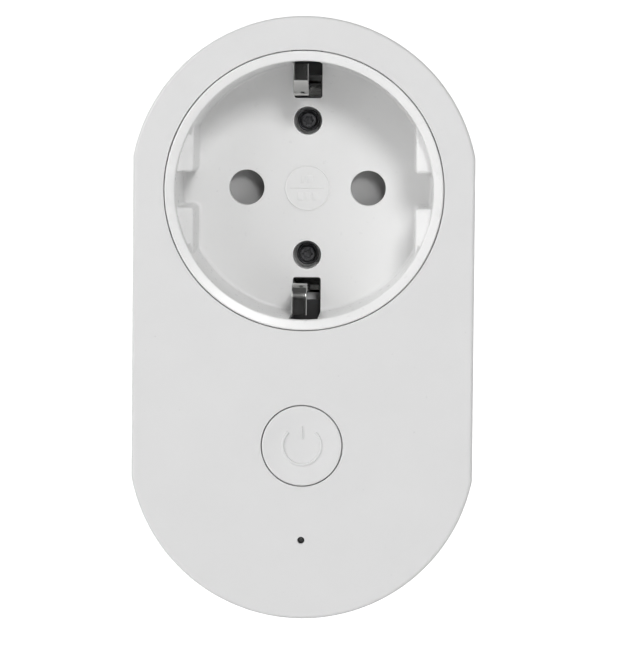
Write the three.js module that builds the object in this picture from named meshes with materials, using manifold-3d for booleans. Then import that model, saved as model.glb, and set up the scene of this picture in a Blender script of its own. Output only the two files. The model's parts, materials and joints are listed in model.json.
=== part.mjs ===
// Smart plug: a slim two-arc housing with an earthed socket in front and an earthed plug behind.
// Millimetres. Origin: centre of the plug's engagement face, on the axis shared by plug and socket.
// +X to the right seen from the front, +Y into the wall along the plug's pins, +Z up.
import * as THREE from "three";
import { mergeVertices } from "three/addons/utils/BufferGeometryUtils.js";
import Module from "manifold-3d";

const wasm = await Module();
wasm.setup();

// ---- Driving sizes ----
const FRONT_Y = -43; // outer face of the front cover
const PARTING_Y = -24; // where the two covers meet
const SLAB_BACK_Y = -17.5; // outer face of the rear cover's back wall
const END_RADIUS = 26.6; // radius of the housing's rounded ends
const HALF_WIDTH = 26.1; // half the distance between the straight sides
const BUTTON_Z = -39; // button axis, also the centre of the lower rounded end
const LIGHT_Z = -53.5; // status light
const FACE_WALL = 2; // thickness of the front and back walls
const SIDE_WALL = 1.8; // thickness of the housing's side walls
const EDGE_RADIUS = 0.5; // rounding of the housing's outer edges
const GAP = 0.3; // general clearance between neighbouring pieces
const SEAM = 0.18; // fine visible gap around the insert and the button
const BEYOND = 1; // how far a cutting shape runs past the face that it opens

const WINDOW_RADIUS = 21.42; // hole in the front cover for the socket
const WELL_RIM_RADIUS = 19.75;
const WELL_FLOOR_RADIUS = 19.5;
const WELL_DEPTH = 17.5;
const FLOOR_Y = FRONT_Y + WELL_DEPTH;
const FLOOR_THICKNESS = 2;
const FLOOR_BACK_Y = FLOOR_Y + FLOOR_THICKNESS;
const GUIDE_FLAT = 17; // guide block face, from the centre plane
const GUIDE_TOP_DROP = 2.7; // guide block tops below the rim
const GUIDE_NOTCH = 2.7; // half width of the notch between guide blocks
const PIN_X = 9.5; // half the pin spacing
const PIN_RADIUS = 2.4;
const PIN_LENGTH = 19;
const PIN_HOLE_RADIUS = 2.75;
const SCREW_Z = 10.5;
const SCREW_HOLE_RADIUS = 2.2;
const SCREW_HEAD_RADIUS = 1.7;
const SCREW_SHANK_RADIUS = 1.05;
const EARTH_SLOT_INNER = 14;
const EARTH_SLOT_OUTER = 25;
const EARTH_SLOT_HALF = 2.2;
const EARTH_SLOT_TOP_DROP = 1.6; // upper end of the earth slot below the rim
const BADGE_RADIUS = 3.55;

const BASE_RADIUS = 18.5; // plug base
const BASE_FLAT = 16.75;
const BASE_RIB_HALF = 2.45;
const BASE_RIB_RADIUS = 18.35;
const BASE_WALL = 1.8;
const BASE_END_WALL = 2.5;
const BASE_END_CHAMFER = 0.6;
const STRIP_RECESS_Z = 17.6; // bottom of the recess for each plug earth strip
const STRIP_RECESS_END_Y = -2;
const STRIP_FOOT = { half: 1.45, front: -5.2, back: -4.4, inner: 16.65 };
const SCREW_BOSS_RADIUS = 3;

const BUTTON_SEAM_RADIUS = 6.26; // hole for the button
const BUTTON_RADIUS = BUTTON_SEAM_RADIUS - SEAM;
const BUTTON_COLLAR_WALL = 1.3;
const BUTTON_COLLAR_BACK_Y = -35;
const LIGHT_HOLE_RADIUS = 0.54;
const LIGHT_COLLAR = { radius: 2.1, bore: 1.3, back: -38 };

const BOARD_FRONT_Y = -22.1;
const BOARD_THICKNESS = 1.6;
const BOARD_TOP_Z = -24.7;
const MOUNTED_Y = BOARD_FRONT_Y - GAP; // back of everything that stands on the board

// ---- Helpers ----
const group = new THREE.Group();
group.name = "smart_plug";

function toSolid(geometry) {
  geometry.deleteAttribute("normal");
  geometry.deleteAttribute("uv");
  const merged = mergeVertices(geometry, 1e-4);
  return new wasm.Manifold(new wasm.Mesh({
    numProp: 3,
    vertProperties: new Float32Array(merged.attributes.position.array),
    triVerts: new Uint32Array(merged.index.array),
  }));
}

function toGeometry(solid) {
  const mesh = solid.getMesh();
  const geometry = new THREE.BufferGeometry();
  geometry.setAttribute("position", new THREE.BufferAttribute(new Float32Array(mesh.vertProperties), 3));
  geometry.setIndex(new THREE.BufferAttribute(new Uint32Array(mesh.triVerts), 1));
  geometry.computeVertexNormals();
  return geometry;
}

function arc(centreX, centreZ, radius, start, end, steps) {
  const points = [];
  for (let i = 0; i <= steps; i += 1) {
    const angle = start + ((end - start) * i) / steps;
    points.push([centreX + radius * Math.cos(angle), centreZ + radius * Math.sin(angle)]);
  }
  return points;
}

function circle(centreX, centreZ, radius, steps) {
  return arc(centreX, centreZ, radius, 0, 2 * Math.PI, steps).slice(0, steps);
}

// The housing's outline in (x, z), pulled in by inset.
function housingOutline(inset) {
  const radius = END_RADIUS - inset;
  const shoulder = Math.acos((HALF_WIDTH - inset) / radius);
  return [
    ...arc(0, 0, radius, shoulder, Math.PI - shoulder, 32),
    ...arc(0, BUTTON_Z, radius, Math.PI + shoulder, 2 * Math.PI - shoulder, 32),
  ];
}

// A solid through convex (x, z) outlines of equal length, each at its own y, front to back.
function stack(layers) {
  const positions = [];
  const triangles = [];
  const count = layers[0].outline.length;
  for (const { y, outline } of layers) {
    outline.forEach(([x, z]) => positions.push(x, y, z));
  }
  for (let layer = 0; layer < layers.length - 1; layer += 1) {
    const front = layer * count;
    const back = front + count;
    for (let i = 0; i < count; i += 1) {
      const next = (i + 1) % count;
      triangles.push(front + i, back + next, front + next);
      triangles.push(front + i, back + i, back + next);
    }
  }
  const last = (layers.length - 1) * count;
  for (let i = 1; i < count - 1; i += 1) {
    triangles.push(0, i, i + 1);
    triangles.push(last, last + i + 1, last + i);
  }
  const geometry = new THREE.BufferGeometry();
  geometry.setAttribute("position", new THREE.BufferAttribute(new Float32Array(positions), 3));
  geometry.setIndex(triangles);
  return toSolid(geometry);
}

// A round bar along Y.
function rod(x, z, radius, yFront, yBack, steps = 32) {
  const outline = circle(x, z, radius, steps);
  return stack([{ y: yFront, outline }, { y: yBack, outline }]);
}

// A round body along Y with a radius at each y, as [y, radius] pairs from front to back.
function turned(x, z, profile, steps = 32) {
  return stack(profile.map(([y, radius]) => ({ y, outline: circle(x, z, radius, steps) })));
}

// A block between two corners, given as pairs of x, y and z.
function box(x0, x1, y0, y1, z0, z1) {
  const geometry = new THREE.BoxGeometry(x1 - x0, y1 - y0, z1 - z0);
  geometry.translate((x0 + x1) / 2, (y0 + y1) / 2, (z0 + z1) / 2);
  return toSolid(geometry);
}

function mirrorX(solid) {
  return solid.mirror([1, 0, 0]);
}

function mirrorZ(solid) {
  return solid.mirror([0, 0, 1]);
}

function extrude(points, depth) {
  const shape = new THREE.Shape(points.map(([u, v]) => new THREE.Vector2(u, v)));
  return new THREE.ExtrudeGeometry(shape, { depth, bevelEnabled: false, steps: 1 });
}

// Points in (y, z), swept along X.
function prismX(points, x0, x1) {
  const geometry = extrude(points, x1 - x0);
  const turn = new THREE.Matrix4().makeBasis(
    new THREE.Vector3(0, 1, 0),
    new THREE.Vector3(0, 0, 1),
    new THREE.Vector3(1, 0, 0),
  );
  geometry.applyMatrix4(turn);
  geometry.translate(x0, 0, 0);
  return toSolid(geometry);
}

// Points in (x, y), swept along Z.
function prismZ(points, z0, z1) {
  const geometry = extrude(points, z1 - z0);
  geometry.translate(0, 0, z0);
  return toSolid(geometry);
}

// A round bar along Z, hollow if boreRadius is given.
function rodZ(x, y, radius, z0, z1, boreRadius = 0) {
  const bar = prismZ(circle(x, y, radius, 24), z0, z1);
  if (!boreRadius) {
    return bar;
  }
  return bar.subtract(prismZ(circle(x, y, boreRadius, 24), z0 - BEYOND, z1 + BEYOND));
}

// The closed outline of a strip of even thickness that follows a path.
function ribbon(path, thickness) {
  const points = path.map(([u, v]) => new THREE.Vector2(u, v));
  const left = [];
  const right = [];
  points.forEach((point, i) => {
    const before = points[Math.max(i - 1, 0)];
    const after = points[Math.min(i + 1, points.length - 1)];
    const arriving = point.clone().sub(before).normalize();
    const leaving = after.clone().sub(point).normalize();
    const first = i === 0 ? leaving : arriving;
    const second = i === points.length - 1 ? arriving : leaving;
    const along = first.clone().add(second).normalize();
    const side = new THREE.Vector2(-along.y, along.x);
    const mitre = thickness / 2 / along.dot(first);
    left.push([point.x + side.x * mitre, point.y + side.y * mitre]);
    right.unshift([point.x - side.x * mitre, point.y - side.y * mitre]);
  });
  return [...left, ...right];
}

// Puts one named piece with its own material into the assembly.
function addGeometry(name, geometry, look) {
  const material = new THREE.MeshStandardMaterial(look);
  material.name = name;
  const mesh = new THREE.Mesh(geometry, material);
  mesh.name = name;
  group.add(mesh);
}

function add(name, solid, look) {
  addGeometry(name, toGeometry(solid), look);
}

// ---- Finishes ----
const MATT_WHITE = { color: 0xe6e6e6, roughness: 0.6, metalness: 0 };
const GLOSS_WHITE = { color: 0xebebea, roughness: 0.3, metalness: 0 };
const GREY_PLASTIC = { color: 0x9a9a9a, roughness: 0.5, metalness: 0 };
const BLACK_PLASTIC = { color: 0x1b1b1c, roughness: 0.45, metalness: 0 };
const NICKEL = { color: 0xc9c7c2, roughness: 0.25, metalness: 1 };
const BRASS = { color: 0xc8a45a, roughness: 0.35, metalness: 1 };
const COPPER = { color: 0xb86f45, roughness: 0.4, metalness: 1 };
const IRON = { color: 0x77787a, roughness: 0.45, metalness: 1 };
const BLACK_STEEL = { color: 0x242526, roughness: 0.4, metalness: 1 };
const BOARD_GREEN = { color: 0x1f5a3a, roughness: 0.5, metalness: 0 };
const SMOKED = { color: 0x1a1a1a, roughness: 0.15, metalness: 0 };
const BLUE_COATING = { color: 0x2f5f9e, roughness: 0.45, metalness: 0 };
const YELLOW_CASE = { color: 0xd9b53a, roughness: 0.45, metalness: 0 };

// ---- Covers ----
// The housing's outer shape pulled in by inset, between two y values.
function housingSolid(inset, yFront, yBack) {
  const outline = housingOutline(inset);
  return stack([{ y: yFront, outline }, { y: yBack, outline }]);
}

// Layers that round the housing's edge at edgeY; inward is +1 when the body lies behind that edge.
function roundedEdge(edgeY, inward) {
  return [0, 1, 2, 3].map((step) => {
    const angle = (step / 3) * (Math.PI / 2);
    return {
      y: edgeY + inward * EDGE_RADIUS * (1 - Math.cos(angle)),
      outline: housingOutline(EDGE_RADIUS * (1 - Math.sin(angle))),
    };
  });
}

function frontCover() {
  const outer = stack([
    ...roundedEdge(FRONT_Y, 1),
    { y: PARTING_Y, outline: housingOutline(0) },
  ]);
  const innerY = FRONT_Y + FACE_WALL;
  const before = FRONT_Y - BEYOND;
  const hollow = housingSolid(SIDE_WALL, innerY, PARTING_Y + BEYOND);
  const collarRadius = BUTTON_SEAM_RADIUS + BUTTON_COLLAR_WALL;
  const collar = rod(0, BUTTON_Z, collarRadius, innerY - BEYOND, BUTTON_COLLAR_BACK_Y);
  const lightCollar = rod(0, LIGHT_Z, LIGHT_COLLAR.radius, innerY - BEYOND, LIGHT_COLLAR.back, 20);
  return outer
    .subtract(hollow)
    .add(collar)
    .add(lightCollar)
    .subtract(rod(0, BUTTON_Z, BUTTON_SEAM_RADIUS, before, BUTTON_COLLAR_BACK_Y + BEYOND, 48))
    .subtract(rod(0, LIGHT_Z, LIGHT_HOLE_RADIUS, before, innerY + BEYOND, 20))
    .subtract(rod(0, LIGHT_Z, LIGHT_COLLAR.bore, innerY, LIGHT_COLLAR.back + BEYOND, 20))
    .subtract(rod(0, 0, WINDOW_RADIUS, before, innerY + BEYOND, 72));
}

// A block centred on the plug's axis that cuts the plug base to a width and a height.
function baseBlock(halfWidth, halfHeight) {
  return box(-halfWidth, halfWidth, SLAB_BACK_Y - FACE_WALL, BEYOND, -halfHeight, halfHeight);
}

// The plug base: a drum with two flats and a rib along the middle of each flat.
function plugBaseOuter() {
  const drum = turned(0, 0, [
    [SLAB_BACK_Y - BEYOND, BASE_RADIUS],
    [-BASE_END_CHAMFER, BASE_RADIUS],
    [0, BASE_RADIUS - BASE_END_CHAMFER],
  ], 60);
  const ribs = drum.intersect(baseBlock(BASE_RIB_RADIUS, BASE_RIB_HALF));
  return drum.intersect(baseBlock(BASE_FLAT, BASE_RADIUS)).add(ribs);
}

function rearCover() {
  const backLayers = roundedEdge(SLAB_BACK_Y, -1).reverse();
  const outer = stack([{ y: PARTING_Y, outline: housingOutline(0) }, ...backLayers]);
  const hollow = housingSolid(SIDE_WALL, PARTING_Y - BEYOND, SLAB_BACK_Y - FACE_WALL);
  // The lip stands inside the front cover's wall and grows out of a thickened rim.
  const lipFront = PARTING_Y - 2;
  const lipBack = PARTING_Y + 1.5;
  const lip = housingSolid(SIDE_WALL + 0.15, lipFront, lipBack)
    .add(housingSolid(SIDE_WALL - 0.2, PARTING_Y, lipBack))
    .subtract(housingSolid(SIDE_WALL + 1.15, lipFront - BEYOND, lipBack + BEYOND));
  const hollowRadius = BASE_RADIUS - BASE_WALL;
  const baseHollow = rod(0, 0, hollowRadius, SLAB_BACK_Y - FACE_WALL - BEYOND, -BASE_END_WALL, 64)
    .intersect(baseBlock(BASE_FLAT - BASE_WALL, BASE_RADIUS));
  let cover = outer
    .subtract(hollow)
    .add(lip)
    .add(plugBaseOuter())
    .subtract(baseHollow);
  for (const side of [-1, 1]) {
    const recessTop = BASE_RADIUS + BEYOND;
    const strip = box(
      -EARTH_SLOT_HALF, EARTH_SLOT_HALF,
      SLAB_BACK_Y, STRIP_RECESS_END_Y,
      STRIP_RECESS_Z, recessTop,
    );
    const footHole = box(
      -STRIP_FOOT.half - 0.15, STRIP_FOOT.half + 0.15,
      STRIP_FOOT.front - 0.2, STRIP_FOOT.back + 0.2,
      STRIP_FOOT.inner - BEYOND, recessTop,
    );
    const cuts = strip.add(footHole);
    cover = cover
      .add(rod(0, side * SCREW_Z, SCREW_BOSS_RADIUS, SLAB_BACK_Y - 0.8, -BEYOND))
      .subtract(rod(0, side * SCREW_Z, SCREW_SHANK_RADIUS + 0.1, SLAB_BACK_Y - 1.5, -8, 20))
      .subtract(rod(side * PIN_X, 0, PIN_RADIUS + 0.1, -4, BEYOND))
      .subtract(side > 0 ? cuts : mirrorZ(cuts));
  }
  return cover;
}

// ---- Socket insert ----
const SLIDER_BACK_Y = -19.8;
const SPRING_PEG_X = -6; // face of the insert's peg that the shutter spring rests on
const SPRING_Z = 5.25;
const INSERT_FLANGE = { width: 1.4, front: FRONT_Y + 2.3, back: FRONT_Y + 3.4 };
const INSERT_SCREW_LEDGE = { front: -19.9, back: -18.6, hole: 1.45, sleeve: 3.3 };
const GUIDE_HALF_HEIGHT = 15;
const RAIL = { inner: 3.8, outer: 4.9 }; // the shutter's guide rails, in z

// The space of the socket well: a slightly tapered bore, less the guide blocks on both sides.
function wellSpace() {
  const well = turned(0, 0, [
    [FRONT_Y - 0.2, WELL_RIM_RADIUS + 0.5],
    [FRONT_Y, WELL_RIM_RADIUS + 0.3],
    [FRONT_Y + 0.1, WELL_RIM_RADIUS + 0.12],
    [FRONT_Y + 0.4, WELL_RIM_RADIUS],
    [FLOOR_Y, WELL_FLOOR_RADIUS],
  ], 72);
  const top = FRONT_Y + GUIDE_TOP_DROP;
  const bottom = FLOOR_Y + BEYOND;
  const outside = WELL_RIM_RADIUS + 2;
  const blocks = box(GUIDE_FLAT, outside, top, bottom, -GUIDE_HALF_HEIGHT, GUIDE_HALF_HEIGHT);
  const notch = box(GUIDE_FLAT - BEYOND, outside + BEYOND, top - BEYOND, bottom, -GUIDE_NOTCH, GUIDE_NOTCH);
  const rightGuide = blocks.subtract(notch);
  return well.subtract(rightGuide).subtract(mirrorX(rightGuide));
}

function socketInsert() {
  const radius = WINDOW_RADIUS - SEAM;
  const body = turned(0, 0, [
    [FRONT_Y, radius - 0.3],
    [FRONT_Y + 0.1, radius - 0.1],
    [FRONT_Y + 0.3, radius],
    [FLOOR_BACK_Y, radius],
  ], 72);
  const barHalf = BADGE_RADIUS * 0.75;
  let insert = body
    .add(rod(0, 0, radius + INSERT_FLANGE.width, INSERT_FLANGE.front, INSERT_FLANGE.back, 64))
    .subtract(wellSpace())
    .add(rod(0, 0, BADGE_RADIUS, FLOOR_Y - 0.12, FLOOR_Y + 0.5, 48))
    .add(box(-barHalf, barHalf, FLOOR_Y - 0.24, FLOOR_Y, -0.12, 0.12));
  // Shutter guide rails and the peg for its spring, on the floor's back.
  const rootY = FLOOR_BACK_Y - 0.5;
  const railBack = FLOOR_BACK_Y + 3.2;
  insert = insert
    .add(box(-12, 12, rootY, railBack, -RAIL.outer, -RAIL.inner))
    .add(box(-13, -8, rootY, railBack, RAIL.inner, RAIL.outer))
    .add(box(8, 13, rootY, railBack, RAIL.inner, RAIL.outer))
    .add(box(SPRING_PEG_X - 1.2, SPRING_PEG_X, rootY, -19.9, SPRING_Z - 1.25, SPRING_Z + 1.35));
  for (const side of [-1, 1]) {
    const slot = box(
      -EARTH_SLOT_HALF, EARTH_SLOT_HALF,
      FRONT_Y + EARTH_SLOT_TOP_DROP, FLOOR_BACK_Y + BEYOND,
      EARTH_SLOT_INNER, EARTH_SLOT_OUTER,
    );
    const { front, back, hole, sleeve } = INSERT_SCREW_LEDGE;
    insert = insert
      .add(rod(0, side * SCREW_Z, sleeve, rootY, back))
      .subtract(rod(0, side * SCREW_Z, SCREW_HOLE_RADIUS, FLOOR_Y - BEYOND, front))
      .subtract(rod(0, side * SCREW_Z, hole, front - BEYOND, back + BEYOND, 20))
      .subtract(rod(side * PIN_X, 0, PIN_HOLE_RADIUS, FLOOR_Y - BEYOND, FLOOR_BACK_Y + BEYOND, 40))
      .subtract(side > 0 ? slot : mirrorZ(slot));
  }
  return insert;
}

// ---- Shutter ----
const RAMP_HALF = 2.9; // each ramp is a square of twice this size behind its pin hole
const SLIDER = { left: -13.2, right: 19.6, half: 3.5, opening: 6 };
const LUG = { left: 4.3, right: 5.5, top: 6.5 }; // what the shutter spring pushes on

// The slider covers both pin holes at rest and slides left, towards -X, to open them.
function shutterSlider() {
  const front = FLOOR_BACK_Y + GAP;
  let slider = box(SLIDER.left, SLIDER.right, front, SLIDER_BACK_Y, -SLIDER.half, SLIDER.half);
  for (const pinX of [-PIN_X, PIN_X]) {
    const rampLeft = pinX - RAMP_HALF;
    const rampRight = pinX + RAMP_HALF;
    // Wedge cut away above each ramp: the ramp falls from left to right, so a pin pushes it left.
    const wedge = prismZ([
      [rampLeft, front - BEYOND],
      [rampRight, front - BEYOND],
      [rampRight, SLIDER_BACK_Y - 0.6],
      [rampLeft, front],
    ], -RAMP_HALF, RAMP_HALF);
    const opening = box(
      rampRight - 0.01, rampRight + SLIDER.opening,
      front - BEYOND, SLIDER_BACK_Y + BEYOND,
      -RAMP_HALF, RAMP_HALF,
    );
    slider = slider.subtract(wedge).subtract(opening);
  }
  const lug = box(LUG.left, LUG.right, front, -19.9, SLIDER.half - 0.5, LUG.top);
  return slider.add(lug);
}

// A compression spring along X, drawn as one closed swept wire.
const SPRING = { start: SPRING_PEG_X + 0.4, length: 9.5, y: -21.6, radius: 1, wire: 0.18, turns: 6 };

class CoilAlongX extends THREE.Curve {
  getPoint(t) {
    const angle = t * SPRING.turns * 2 * Math.PI;
    return new THREE.Vector3(
      SPRING.start + t * SPRING.length,
      SPRING.y + SPRING.radius * Math.cos(angle),
      SPRING_Z + SPRING.radius * Math.sin(angle),
    );
  }
}

function shutterSpringGeometry() {
  const section = circle(0, 0, SPRING.wire, 6).map(([u, v]) => new THREE.Vector2(u, v));
  const wire = new THREE.Shape(section);
  return new THREE.ExtrudeGeometry(wire, { steps: 84, bevelEnabled: false, extrudePath: new CoilAlongX() });
}

// ---- Live contacts, held in the carrier inside the plug base ----
const CARRIER_FRONT_Y = -19.4;
const CARRIER_BACK_Y = -5.6;
const CARRIER_HALF = 6.5;
const TAIL = { left: PIN_X + 2.45, right: PIN_X + 3.05 }; // the contact's flat tail, in x

// An insulating block with one pocket for each contact and a gate for each tail.
function contactCarrier() {
  let carrier = box(-14.4, 14.4, CARRIER_FRONT_Y, CARRIER_BACK_Y, -CARRIER_HALF, CARRIER_HALF);
  const pocketHalf = CARRIER_HALF - 1.3;
  for (const side of [-1, 1]) {
    const pocket = box(
      5.5, 13.4,
      CARRIER_FRONT_Y - BEYOND, CARRIER_BACK_Y + BEYOND,
      -pocketHalf, pocketHalf,
    );
    const tailGate = box(TAIL.left - 0.35, TAIL.right + 0.35, -17, -12, -CARRIER_HALF - 0.5, -5);
    const cuts = pocket.add(tailGate);
    carrier = carrier.subtract(side > 0 ? cuts : mirrorX(cuts));
  }
  return carrier;
}

// Right-hand contact: two leaves that grip a pin, and a flat tail that runs down to the board.
function socketContact() {
  const leaves = prismZ(ribbon([
    [PIN_X - 3.4, -18.4],
    [PIN_X - 2.75, -15.8],
    [PIN_X - 2.75, -10.5],
    [PIN_X - 3.1, -6.1],
    [PIN_X + 3.1, -6.1],
    [PIN_X + 2.75, -10.5],
    [PIN_X + 2.75, -15.8],
    [PIN_X + 3.4, -18.4],
  ], 0.6), -3, 3);
  const tail = prismX([
    [-15.8, -2.5],
    [-15.8, -8.2],
    [-22.4, -8.2],
    [-22.4, BOARD_TOP_Z + GAP],
    [-20.6, BOARD_TOP_Z + GAP],
    [-20.6, -10.6],
    [-12.8, -10.6],
    [-12.8, -2.5],
  ], TAIL.left, TAIL.right);
  return leaves.add(tail);
}

// Right-hand plug pin: a shoulder behind the base's end wall and a rounded tip.
function plugPin() {
  const shoulder = PIN_RADIUS + 0.9;
  return turned(PIN_X, 0, [
    [-4.4, PIN_RADIUS],
    [-4, PIN_RADIUS],
    [-3.99, shoulder],
    [-2.8, shoulder],
    [-2.79, PIN_RADIUS],
    [PIN_LENGTH - 1.6, PIN_RADIUS],
    [PIN_LENGTH - 0.7, PIN_RADIUS * 0.86],
    [PIN_LENGTH - 0.2, PIN_RADIUS * 0.6],
    [PIN_LENGTH, PIN_RADIUS * 0.25],
  ], 24);
}

// A flat strap from the back of a plug pin, bent twice, down to the top of the board.
function pinStrap() {
  const left = 6.9;
  const right = 9.4;
  const thickness = 0.6;
  const back = -4.65;
  const front = -21.6;
  const bend = -12.4;
  return box(left, right, back - thickness, back, bend - thickness, PIN_RADIUS)
    .add(box(left, right, front, back, bend - thickness, bend))
    .add(box(left, right, front, front + thickness, BOARD_TOP_Z + GAP, bend));
}

// ---- Earth path ----
const CLIP_PIVOT_Y = -19.1;
const CLIP_Z = 15.9;

const NOSE = { y: -35.6, z: 16.3, radius: 1.6, start: -0.6, end: -2.62 };
const FLARE = { radius: 3, end: -3.124, straight: 2.36 };

// Upper clip: a sprung strip through the earth slot, with a nose towards the axis and a flared lead-in.
function earthClip() {
  const offset = NOSE.radius - FLARE.radius;
  const flareY = NOSE.y + offset * Math.cos(NOSE.end);
  const flareZ = NOSE.z + offset * Math.sin(NOSE.end);
  const flare = arc(flareY, flareZ, FLARE.radius, NOSE.end, FLARE.end, 3).slice(1);
  const [bendY, bendZ] = flare[flare.length - 1];
  const path = [
    [CLIP_PIVOT_Y, CLIP_Z],
    [-26, CLIP_Z],
    ...arc(NOSE.y, NOSE.z, NOSE.radius, NOSE.start, NOSE.end, 7),
    ...flare,
    [bendY + FLARE.straight * Math.sin(FLARE.end), bendZ - FLARE.straight * Math.cos(FLARE.end)],
  ];
  return prismX(ribbon(path, 0.5), -1.95, 0.4);
}

// A U of sheet metal across the plug base that joins both clips and both plug earth strips.
function earthBridge() {
  const sheet = 0.8;
  const back = -BASE_END_WALL - GAP;
  const reach = 16.3;
  const bar = box(-4.4, 4.4, back - sheet, back, -reach, reach);
  let bridge = bar.intersect(rod(0, 0, BASE_RADIUS - BASE_WALL - 0.25, -5, back + BEYOND, 64));
  for (const side of [-1, 1]) {
    const inner = side > 0 ? reach - sheet : -reach;
    bridge = bridge
      .add(box(-EARTH_SLOT_HALF, EARTH_SLOT_HALF, -18.8, back, inner, inner + sheet))
      .subtract(rod(0, side * SCREW_Z, SCREW_BOSS_RADIUS + GAP, -5, -BEYOND));
  }
  return bridge;
}

// Upper plug earth strip: a plate in the base's recess with a foot through its wall.
function plugEarthStrip() {
  const bottom = STRIP_RECESS_Z + 0.15;
  const half = EARTH_SLOT_HALF - 0.15;
  return box(-half, half, SLAB_BACK_Y + GAP, STRIP_RECESS_END_Y - 0.2, bottom, bottom + 0.65)
    .add(box(
      -STRIP_FOOT.half, STRIP_FOOT.half,
      STRIP_FOOT.front, STRIP_FOOT.back,
      STRIP_FOOT.inner, bottom + BEYOND / 4,
    ));
}

// Upper insert screw, with a six-lobe recess in its head.
function insertScrew() {
  const headFront = -22.2;
  const recessEnd = -21;
  const recessRadius = 0.62;
  const head = turned(0, SCREW_Z, [
    [headFront, SCREW_HEAD_RADIUS - 0.4],
    [headFront + 0.3, SCREW_HEAD_RADIUS],
    [headFront + 2, SCREW_HEAD_RADIUS],
  ], 24);
  const shank = rod(0, SCREW_Z, SCREW_SHANK_RADIUS, -20.5, -9, 16);
  let recess = rod(0, SCREW_Z, recessRadius, headFront - BEYOND, recessEnd, 12);
  for (let lobe = 0; lobe < 6; lobe += 1) {
    const angle = (lobe * Math.PI) / 3;
    const x = recessRadius * Math.cos(angle);
    const z = SCREW_Z + recessRadius * Math.sin(angle);
    recess = recess.add(rod(x, z, 0.24, headFront - BEYOND, recessEnd, 8));
  }
  return head.add(shank).subtract(recess);
}

// ---- Button, switch and status light ----
const SWITCH_FRONT_Y = -25.7;
const PLUNGER = { radius: 1.6, front: -27.1, back: -24.2 };

// A dished cap with a retaining flange, and a stem that reaches to the switch.
function powerButton() {
  const flangeFront = BUTTON_COLLAR_BACK_Y + GAP;
  const flangeRadius = BUTTON_RADIUS + 1.2;
  const capWall = 1.2;
  const cap = turned(0, BUTTON_Z, [
    [FRONT_Y, BUTTON_RADIUS - 0.2],
    [FRONT_Y + 0.2, BUTTON_RADIUS],
    [flangeFront, BUTTON_RADIUS],
    [flangeFront + 0.01, flangeRadius],
    [flangeFront + 1, flangeRadius],
  ], 48);
  const dish = turned(0, BUTTON_Z, [
    [FRONT_Y - 0.1, BUTTON_RADIUS - 0.35],
    [FRONT_Y, BUTTON_RADIUS - 0.45],
    [FRONT_Y + 0.2, BUTTON_RADIUS - 1.6],
    [FRONT_Y + 0.32, BUTTON_RADIUS - 3],
  ], 48);
  const hollow = rod(0, BUTTON_Z, BUTTON_RADIUS - capWall, FRONT_Y + 2.4, flangeFront + 2, 40);
  const stem = rod(0, BUTTON_Z, 2, FRONT_Y + 2, PLUNGER.front - GAP, 24);
  return cap.subtract(dish).subtract(hollow).add(stem).add(powerMark());
}

// Raised power mark: an open ring with a short bar in its gap.
function powerMark() {
  const ring = arc(0, BUTTON_Z, 2.92, Math.PI * 0.75, Math.PI * 2.25, 24);
  const back = FRONT_Y + 0.6;
  const front = FRONT_Y + 0.12;
  const outline = ribbon(ring, 0.45);
  const geometry = extrude(outline, back - front);
  geometry.rotateX(Math.PI / 2);
  geometry.translate(0, back, 0);
  return toSolid(geometry).add(box(-0.2, 0.2, front, back, BUTTON_Z + 1.05, BUTTON_Z + 3));
}

// A square layer of the switch between two y values, with the plunger's hole as deep as holeBack.
function switchLayer(front, back, holeBack) {
  const half = 3;
  return box(-half, half, front, back, BUTTON_Z - half, BUTTON_Z + half)
    .subtract(rod(0, BUTTON_Z, PLUNGER.radius + 0.15, front - BEYOND, holeBack, 24));
}

function statusLightPipe() {
  const tipRadius = LIGHT_HOLE_RADIUS - 0.08;
  const bodyRadius = LIGHT_COLLAR.bore - 0.2;
  const shoulder = FRONT_Y + FACE_WALL + 0.3;
  return turned(0, LIGHT_Z, [
    [FRONT_Y + 0.25, tipRadius],
    [shoulder, tipRadius],
    [shoulder + 0.2, bodyRadius],
    [-24.3, bodyRadius],
  ], 20);
}

function statusLed() {
  return box(-0.8, 0.8, MOUNTED_Y - 1.5, MOUNTED_Y, LIGHT_Z - 0.6, LIGHT_Z + 0.6);
}

// ---- Circuit board and what stands on it ----
function circuitBoard() {
  return housingSolid(SIDE_WALL + 0.8, BOARD_FRONT_Y, BOARD_FRONT_Y + BOARD_THICKNESS)
    .intersect(box(-30, 30, -30, -10, -70, BOARD_TOP_Z));
}

const RELAY = { left: -20.6, right: -9.1, bottom: -50, top: -25, front: -37, wall: 0.9 };
const RELAY_X = (RELAY.left + RELAY.right) / 2;
const RELAY_BASE_FRONT_Y = -24.4;
const COIL_Y = -31.4;
const COIL_FLANGE_RADIUS = 4.3;
const CORE_RADIUS = 1.3;
const ARMATURE_HINGE_Y = -26.1;
const ARMATURE_Z = -31.65;
const YOKE_HALF = 3.5;
const YOKE_BACK_Y = -25.6;
const SHEET = 0.3; // thickness of the relay's contact metal

function relayCover() {
  const { left, right, bottom, top, front, wall } = RELAY;
  const back = RELAY_BASE_FRONT_Y - GAP;
  return box(left, right, front, back, bottom, top)
    .subtract(box(left + wall, right - wall, front + wall, back + BEYOND, bottom + wall, top - wall));
}

function relayBase() {
  return box(RELAY.left, RELAY.right, RELAY_BASE_FRONT_Y, MOUNTED_Y, RELAY.bottom, RELAY.top);
}

// A spool with two flanges and a bore for the core.
function relayBobbin() {
  const bore = CORE_RADIUS + 0.15;
  return rodZ(RELAY_X, COIL_Y, COIL_FLANGE_RADIUS, -47, -46.2, bore)
    .add(rodZ(RELAY_X, COIL_Y, 2, -46.5, -33.5, bore))
    .add(rodZ(RELAY_X, COIL_Y, COIL_FLANGE_RADIUS, -33.8, -33, bore));
}

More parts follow.
